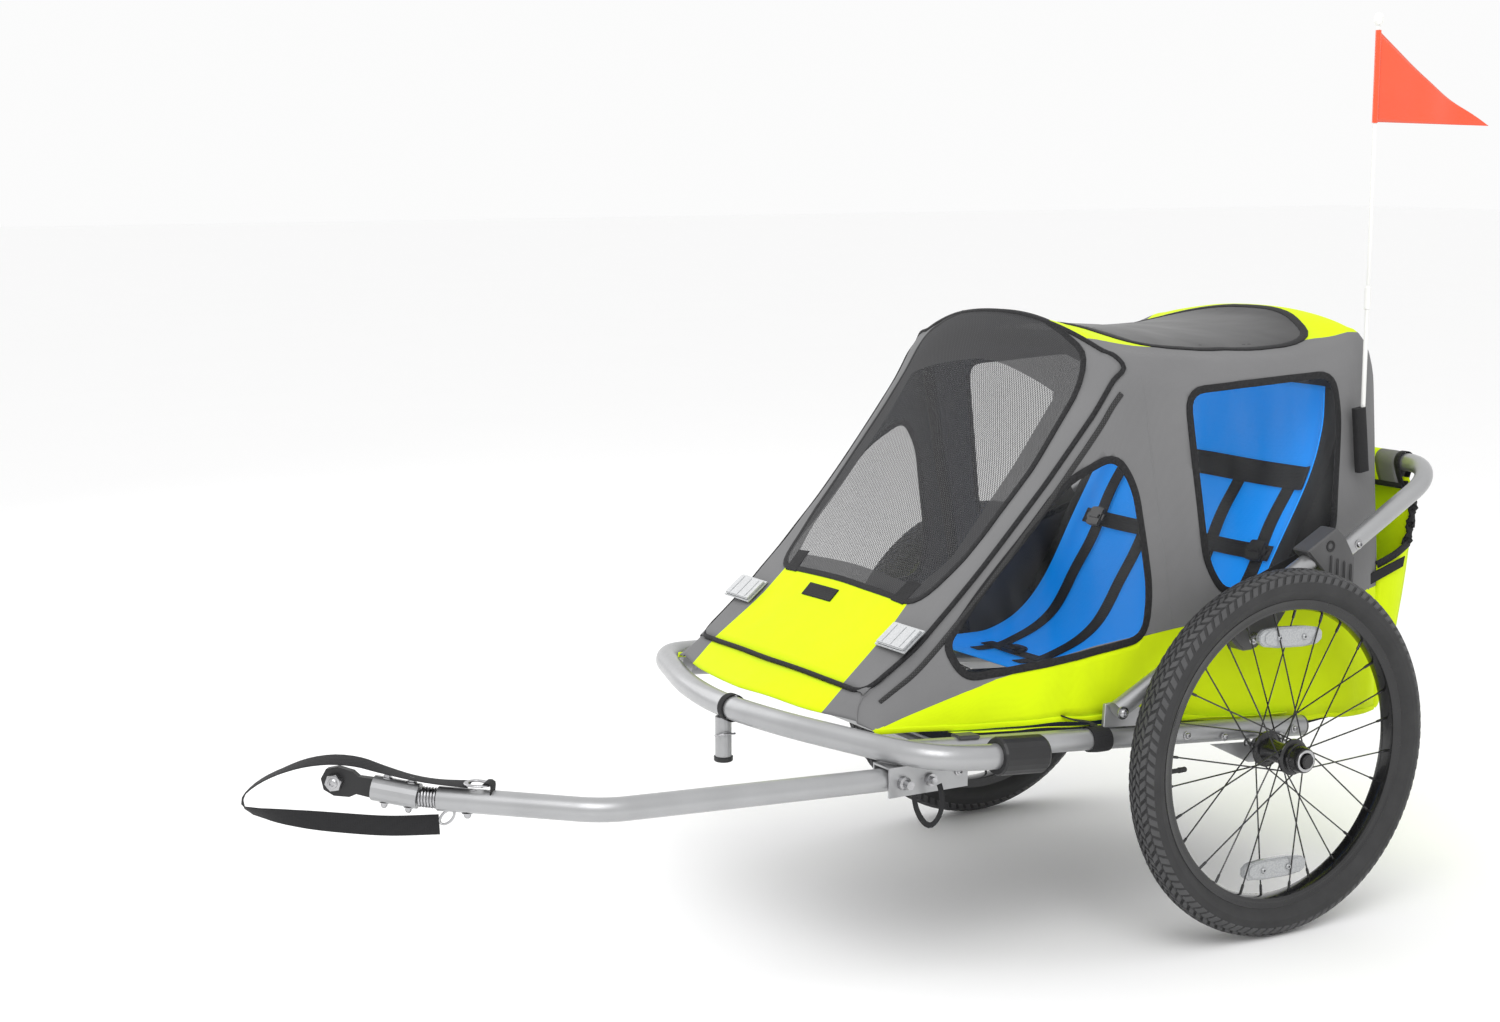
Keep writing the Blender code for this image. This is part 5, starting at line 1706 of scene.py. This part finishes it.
# ---------------------------------------------------------------- hitch
def make_spring():
    """Coil spring over a rubber core between the arm and the coupler."""
    start, stop = Vector(ARM_END), Vector(SPRING_END)
    axis = (stop - start).normalized()
    turn = Vector((0, 0, 1)).rotation_difference(axis).to_matrix()
    length = (stop - start).length
    route = []
    coils = 6
    for k in range(coils * 16 + 1):
        a = 2 * math.pi * k / 16
        local = Vector((0.0108 * math.cos(a), 0.0108 * math.sin(a), length * k / (coils * 16)))
        route.append(start + turn @ local)
    coil = wire("hitch_coil", route, 0.0017, "zinc", first=axis)
    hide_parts("flex_spring")
    core = [(0, 0), (0, 0.0088), (length * 0.5, 0.0082), (length, 0.0088), (length, 0)]
    core = turned("spring_core", core, start, axis, "rubber", 24)
    for piece in (coil, core):
        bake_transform(piece)


def make_hitch_hardware():
    start, stop = Vector(SPRING_END), Vector(SLEEVE_END)
    run = (stop - start).normalized()
    down = Vector((0, 0, -1))
    down = (down - run * down.dot(run)).normalized()
    spots = []
    for share in (0.22, 0.74):
        centre = start + (stop - start) * share
        spots += [(centre + down * 0.0146, down), (centre - down * 0.0146, -down)]
    bolts("sleeve_bolts", "coupler", spots, 0.0042, 0.0060)
    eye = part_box("hitch_nut")
    centre = (eye[0] + eye[1]) / 2 - Vector((0, AXLE_Y, 0))
    across = run.cross(Vector((0, 0, 1))).normalized()
    bolts("eye_bolt", "coupler", [(centre - across * 0.0042, -across)], 0.0062, 0.0034)
    arm_run = (Vector(ARM_END) - Vector(ARM_BEND)).normalized()
    at = Vector(ARM_END) - arm_run * 0.034
    bolts("arm_bolt", "arm", [(at + Vector((0, 0, -ARM_R + 0.0002)), Vector((0, 0, -1)))], 0.0046, 0.0060)
    make_d_plate(arm_run)


def make_d_plate(arm_run):
    """Flat plate bolted on the arm that the safety strap and its hook hang from."""
    base = Vector(SAFETY_STRAP[0]) + Vector((0.006, 0.008, -0.001))
    side = arm_run.cross(Vector((0, 0, 1))).normalized()
    loop = []
    for k in range(24):
        a = 2 * math.pi * k / 24
        wide = 0.0115 * (1.0 + 0.25 * math.cos(a))
        loop.append(base + arm_run * 0.0145 * math.cos(a) + side * wide * math.sin(a)
                    + Vector((0, 0, 0.002)))
    normals = [Vector((0, 0, 1))] * len(loop)
    plate = band("strap_plate", loop, normals, 0.0060, 0.0024, "zinc", True)
    on(plate, "arm", "zinc")
    stub = [base - arm_run * 0.016 + Vector((0, 0, -0.012)), base - arm_run * 0.017 + Vector((0, 0, 0.003)),
            base - arm_run * 0.010 + Vector((0, 0, 0.005)), base - arm_run * 0.006]
    route = smooth_route(stub, 0.003)
    stub = band("strap_stub", route, carried_normals(route, -arm_run), 0.0200, 0.0024, "webbing")
    on(stub, "arm", "webbing")


def make_snap_hook():
    """Swivel snap hook between the plate and the strap's lower end."""
    low = Vector(SAFETY_STRAP[-1])
    high = Vector(SAFETY_STRAP[0]) + Vector((0.010, 0.006, -0.003))
    axis = (high - low).normalized()
    side = axis.cross(Vector((1, -1, 0))).normalized()
    bm = bmesh.new()
    for centre_share, length, width in ((0.20, 0.011, 0.0060), (0.68, 0.0165, 0.0062)):
        centre = low.lerp(high, centre_share)
        loop = []
        for k in range(28):
            a = 2 * math.pi * k / 28
            loop.append(centre + axis * length * math.cos(a) + side * width * math.sin(a))
        normal = axis.cross(side)
        sweep(bm, loop, [normal] * len(loop), round_section(0.0016, 8), True)
    barrel = [(0, 0), (0, 0.0032), (0.003, 0.0042), (0.007, 0.0042), (0.009, 0.0030), (0.009, 0)]
    add_turned(bm, barrel, low.lerp(high, 0.38), axis, 16)
    hook = finish_mesh("snap_hook", bm, "zinc", 50)
    return on(hook, "arm", "zinc")


def make_safety_strap():
    """Wide webbing that loops round the towing bicycle's frame and clips back to the arm."""
    route = smooth_route(SAFETY_STRAP, 0.010)
    count = len(route)
    normals = []
    for k, normal in enumerate(carried_normals(route, (0.25, 0.15, 1))):
        share = k / (count - 1)
        lean = 0.0
        if share < 0.42:
            lean = math.radians(9) * math.sin(share / 0.42 * math.pi * 2.0)
        if share > 0.52:
            lean = math.radians(-84) * math.sin(min(1.0, (share - 0.52) / 0.3) * math.pi / 2)
        tangent = (route[min(k + 1, count - 1)] - route[max(k - 1, 0)]).normalized()
        normals.append(Matrix.Rotation(lean, 3, tangent) @ normal)
    bm = bmesh.new()
    sweep(bm, route, normals, ring_section(STRAP_WIDTH, 0.0018, 10))
    strap = finish_mesh("safety_strap_webbing", bm, "webbing", 60)
    on(strap, "arm", "webbing", False, "safety_strap")
    hook = make_snap_hook()


def make_lanyard():
    """Narrow tape from the pivot bolt to the quick-release pin."""
    route = smooth_route(LANYARD, 0.005)
    normals = carried_normals(route, (1, 0, 0))
    bm = bmesh.new()
    sweep(bm, route, normals, ring_section(LANYARD_WIDTH, 0.0014, 8))
    tape = finish_mesh("pin_lanyard_tape", bm, "webbing", 60)
    on(tape, "trailer", "webbing", False, "pin_lanyard")


# ---------------------------------------------------------------- flag
def make_flag():
    """Glossy pennant with a curved upper edge, a pole sleeve and soft waves."""
    hoist, tip = POLE_Y + 0.0032, 0.4215
    rows = []
    columns, steps = 44, 16
    for k in range(columns + 1):
        t = k / columns
        y = hoist + (tip - hoist) * t
        low = 1.0830 - 0.0040 * t
        high = 1.0790 + 0.1240 * (1 - t) ** 0.92 - 0.012 * math.sin(math.pi * t)
        high = max(high, low + 0.0006)
        wave = 0.0042 * math.sin(6.2 * t + 0.6) * t + 0.0016 * math.sin(17 * t) * t
        row = []
        for j in range(steps + 1):
            s = j / steps
            row.append(Vector((POLE_X + wave * (0.6 + 0.4 * s), y, low + (high - low) * s)))
        rows.append(row)
    flag = sheet_piece("flag_film_sheet", rows, "flag", 0.0006)
    on(flag, "flag_upper", "flag_vinyl", False, "flag")
    sleeve = [(0, 0.0031), (0, 0.0040), (0.123, 0.0040), (0.123, 0.0031)]
    sleeve = turned("flag_sleeve", sleeve, (POLE_X, POLE_Y, 1.0820), (0, 0, 1), "flag", 20)
    on(sleeve, "flag_upper", "flag_vinyl")
    pocket = [(POLE_X, POLE_Y - 0.0080, 0.6950), (POLE_X, POLE_Y - 0.0030, 0.6550),
              (POLE_X, POLE_Y + 0.0010, 0.6200), (POLE_X, POLE_Y + 0.0030, 0.6060)]
    route = smooth_route(pocket, 0.006)
    pocket = band("flag_pocket_webbing", route, [Vector((1, 0, 0))] * len(route), 0.0200, 0.0130, "webbing")
    on(pocket, "rear_frame", "webbing", False, "flag_pocket")


# ---------------------------------------------------------------- finishes of the CAD parts
CAD_LOOKS = {
    "tube_paint": ("axle_plate_left", "axle_plate_right", "pivot_bracket_left", "pivot_bracket_right",
                   "front_cross_tube", "rear_cross_tube", "hitch_bracket", "stroller_socket",
                   "coupler_sleeve"),
    "zinc": ("axle_stub_left", "axle_stub_right", "hitch_nut", "hitch_bolt", "hitch_pin"),
    "moulded": ("leg_clamp_left", "leg_clamp_right"),
    "black_plastic": ("bumper_cap_left", "bumper_cap_right", "socket_cap", "hitch_tongue"),
    "gloss_black": ("release_button_left", "release_button_right"),
    "rubber": ("flag_pocket",),
    "charcoal": ("front_hoop", "rear_hoop"),
    "pole": ("flag_pole_lower", "flag_pole_upper"),
}


def smooth_tube(name, route, radius, body, node):
    """A painted tube along a route, in place of the CAD's faceted one."""
    bm = bmesh.new()
    sweep(bm, route, carried_normals(route, (0.1, 0.2, 1)), round_section(radius, 32))
    on(finish_mesh(name, bm, "tube_paint", 50), body, "tube_paint", False, node)


def make_tubes():
    corners = [(0.352, -0.470), (0.352, -0.508), (0.338, -0.552), (0.300, -0.583), (0.240, -0.606),
               (0.120, -0.644), (0.0, -0.660)]
    corners += [(-x, y) for x, y in corners[-2::-1]]
    bumper = smooth_route([(x, y, BUMPER_Z - SLOPE * y) for x, y in corners], 0.008)
    smooth_tube("bumper_tube", bumper, BUMPER_R, "trailer", "bumper_bar")
    slope = (ARM_BEND[2] - ARM_PIVOT[1]) / (ARM_PIVOT[0] - ARM_BEND[1])
    rear_end = (ARM_BEND[0], ARM_REAR_Y, ARM_PIVOT[1] + slope * (ARM_PIVOT[0] - ARM_REAR_Y))
    arm = rounded([rear_end, ARM_BEND, ARM_END], 0.085, 12)
    smooth_tube("arm_tube", arm, ARM_R, "arm", "tow_arm")
    bar = [(HANDLE_X, *HANDLE_START), (HANDLE_X, *HANDLE_TOP), (-HANDLE_X, *HANDLE_TOP),
           (-HANDLE_X, *HANDLE_START)]
    smooth_tube("bar_tube", rounded(bar, 0.060, 12), HANDLE_R, "rear_frame", "handlebar")
    for side, sign in SIDES:
        rail = [Vector((sign * RAIL_X, y, rail_z(y))) for y in (RAIL_FRONT_Y, 0.0, 0.095)]
        smooth_tube(f"rail_tube_{side}", rail, RAIL_R, "trailer", f"side_rail_{side}")
        leg = [Vector((sign * HANDLE_X, *end)) for end in (LEG_FOOT, LEG_END)]
        smooth_tube(f"leg_tube_{side}", leg, HANDLE_R, "rear_frame", f"frame_leg_{side}")


def make_floor_cloth():
    """Coated floor slung under the cabin, drawn up at its rear end."""
    rows = []
    for k in range(25):
        y = -0.470 + 0.695 * k / 24
        lift = max(0.0, y + 0.02) / 0.245
        z = (rail_z(y) - 0.0200) * (1 - lift) + 0.2640 * lift
        rows.append([Vector((0.250 * (c / 10 - 1), y, z - 0.002 * math.cos(0.15 * (c - 10))))
                     for c in range(21)])
    floor = sheet_piece("floor_cloth", rows, "charcoal", 0.0040)
    on(floor, "trailer", "rubber", False, "floor_panel")


def finish_cad():
    for look, nodes in CAD_LOOKS.items():
        for name in nodes:
            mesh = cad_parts[name].data
            mesh.materials.clear()
            mesh.materials.append(looks[look])


# ---------------------------------------------------------------- camera, light, floor
def make_camera():
    azimuth, elevation = math.radians(CAMERA_AZIMUTH), math.radians(CAMERA_ELEVATION)
    back = Vector((math.sin(azimuth) * math.cos(elevation),
                   -math.cos(azimuth) * math.cos(elevation), math.sin(elevation)))
    right = Vector((math.cos(azimuth), math.sin(azimuth), 0))
    up = back.cross(right)
    data = bpy.data.cameras.new("camera")
    data.lens = LENS_MM
    data.sensor_width = SENSOR_MM
    camera = bpy.data.objects.new("camera", data)
    bpy.context.scene.collection.objects.link(camera)
    turn = Matrix((right, up, back)).transposed().to_4x4()
    camera.matrix_world = Matrix.Translation(place(CAMERA_AT)) @ turn
    bpy.context.scene.camera = camera


def area_light(name, at, size, power, target=(0, 0, 0.4)):
    data = bpy.data.lights.new(name, "AREA")
    data.energy = power
    data.size = size
    lamp = bpy.data.objects.new(name, data)
    bpy.context.scene.collection.objects.link(lamp)
    lamp.location = place(at)
    direction = place(target) - place(at)
    lamp.rotation_euler = direction.to_track_quat("-Z", "Y").to_euler()


def make_studio():
    world = bpy.data.worlds.new("studio")
    bpy.context.scene.world = world
    world.use_nodes = True
    backdrop = world.node_tree.nodes["Background"]
    backdrop.inputs["Color"].default_value = (1.0, 1.0, 1.0, 1)
    backdrop.inputs["Strength"].default_value = 0.97
    area_light("key", (2.2, -1.8, 3.0), 2.4, 62.0)
    area_light("fill", (-2.6, -1.6, 2.0), 2.6, 26.0)
    bm = bmesh.new()
    grid(bm, [[Vector((x, y, -0.0005)) for y in (-30, 30)] for x in (-30, 30)])
    floor = finish_mesh("floor", bm, "grey")
    look = Look("floor_paint", PALE, 0.9)
    look.drive("Base Color", look.shade(PALE, look.spread(look.noise(2.0), 0.995, 1.0)))
    floor.data.materials[0] = look.material
    bpy.context.scene.view_settings.view_transform = "Standard"


def fold_soft_pieces():
    """Makes each cloth piece's modifiers part of its own mesh, and puts the bag pieces' placement into their
    meshes.
    """
    for piece in soft_pieces:
        if piece.modifiers:
            baked(piece)
        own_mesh(piece)
    for piece in bag_pieces:
        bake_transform(piece)


make_looks()
make_camera()
make_safety_strap()
make_lanyard()
finish_cad()
make_tubes()
make_floor_cloth()
make_cabin()
make_windows()
make_cover()
make_seams()
make_seat()
make_bag()
for side_name, side_sign in SIDES:
    make_tyre(side_name, side_sign)
    make_rim(side_name, side_sign)
    make_hub(side_name, side_sign)
make_frame_hardware()
make_spring()
make_hitch_hardware()
make_flag()
make_studio()
fold_soft_pieces()
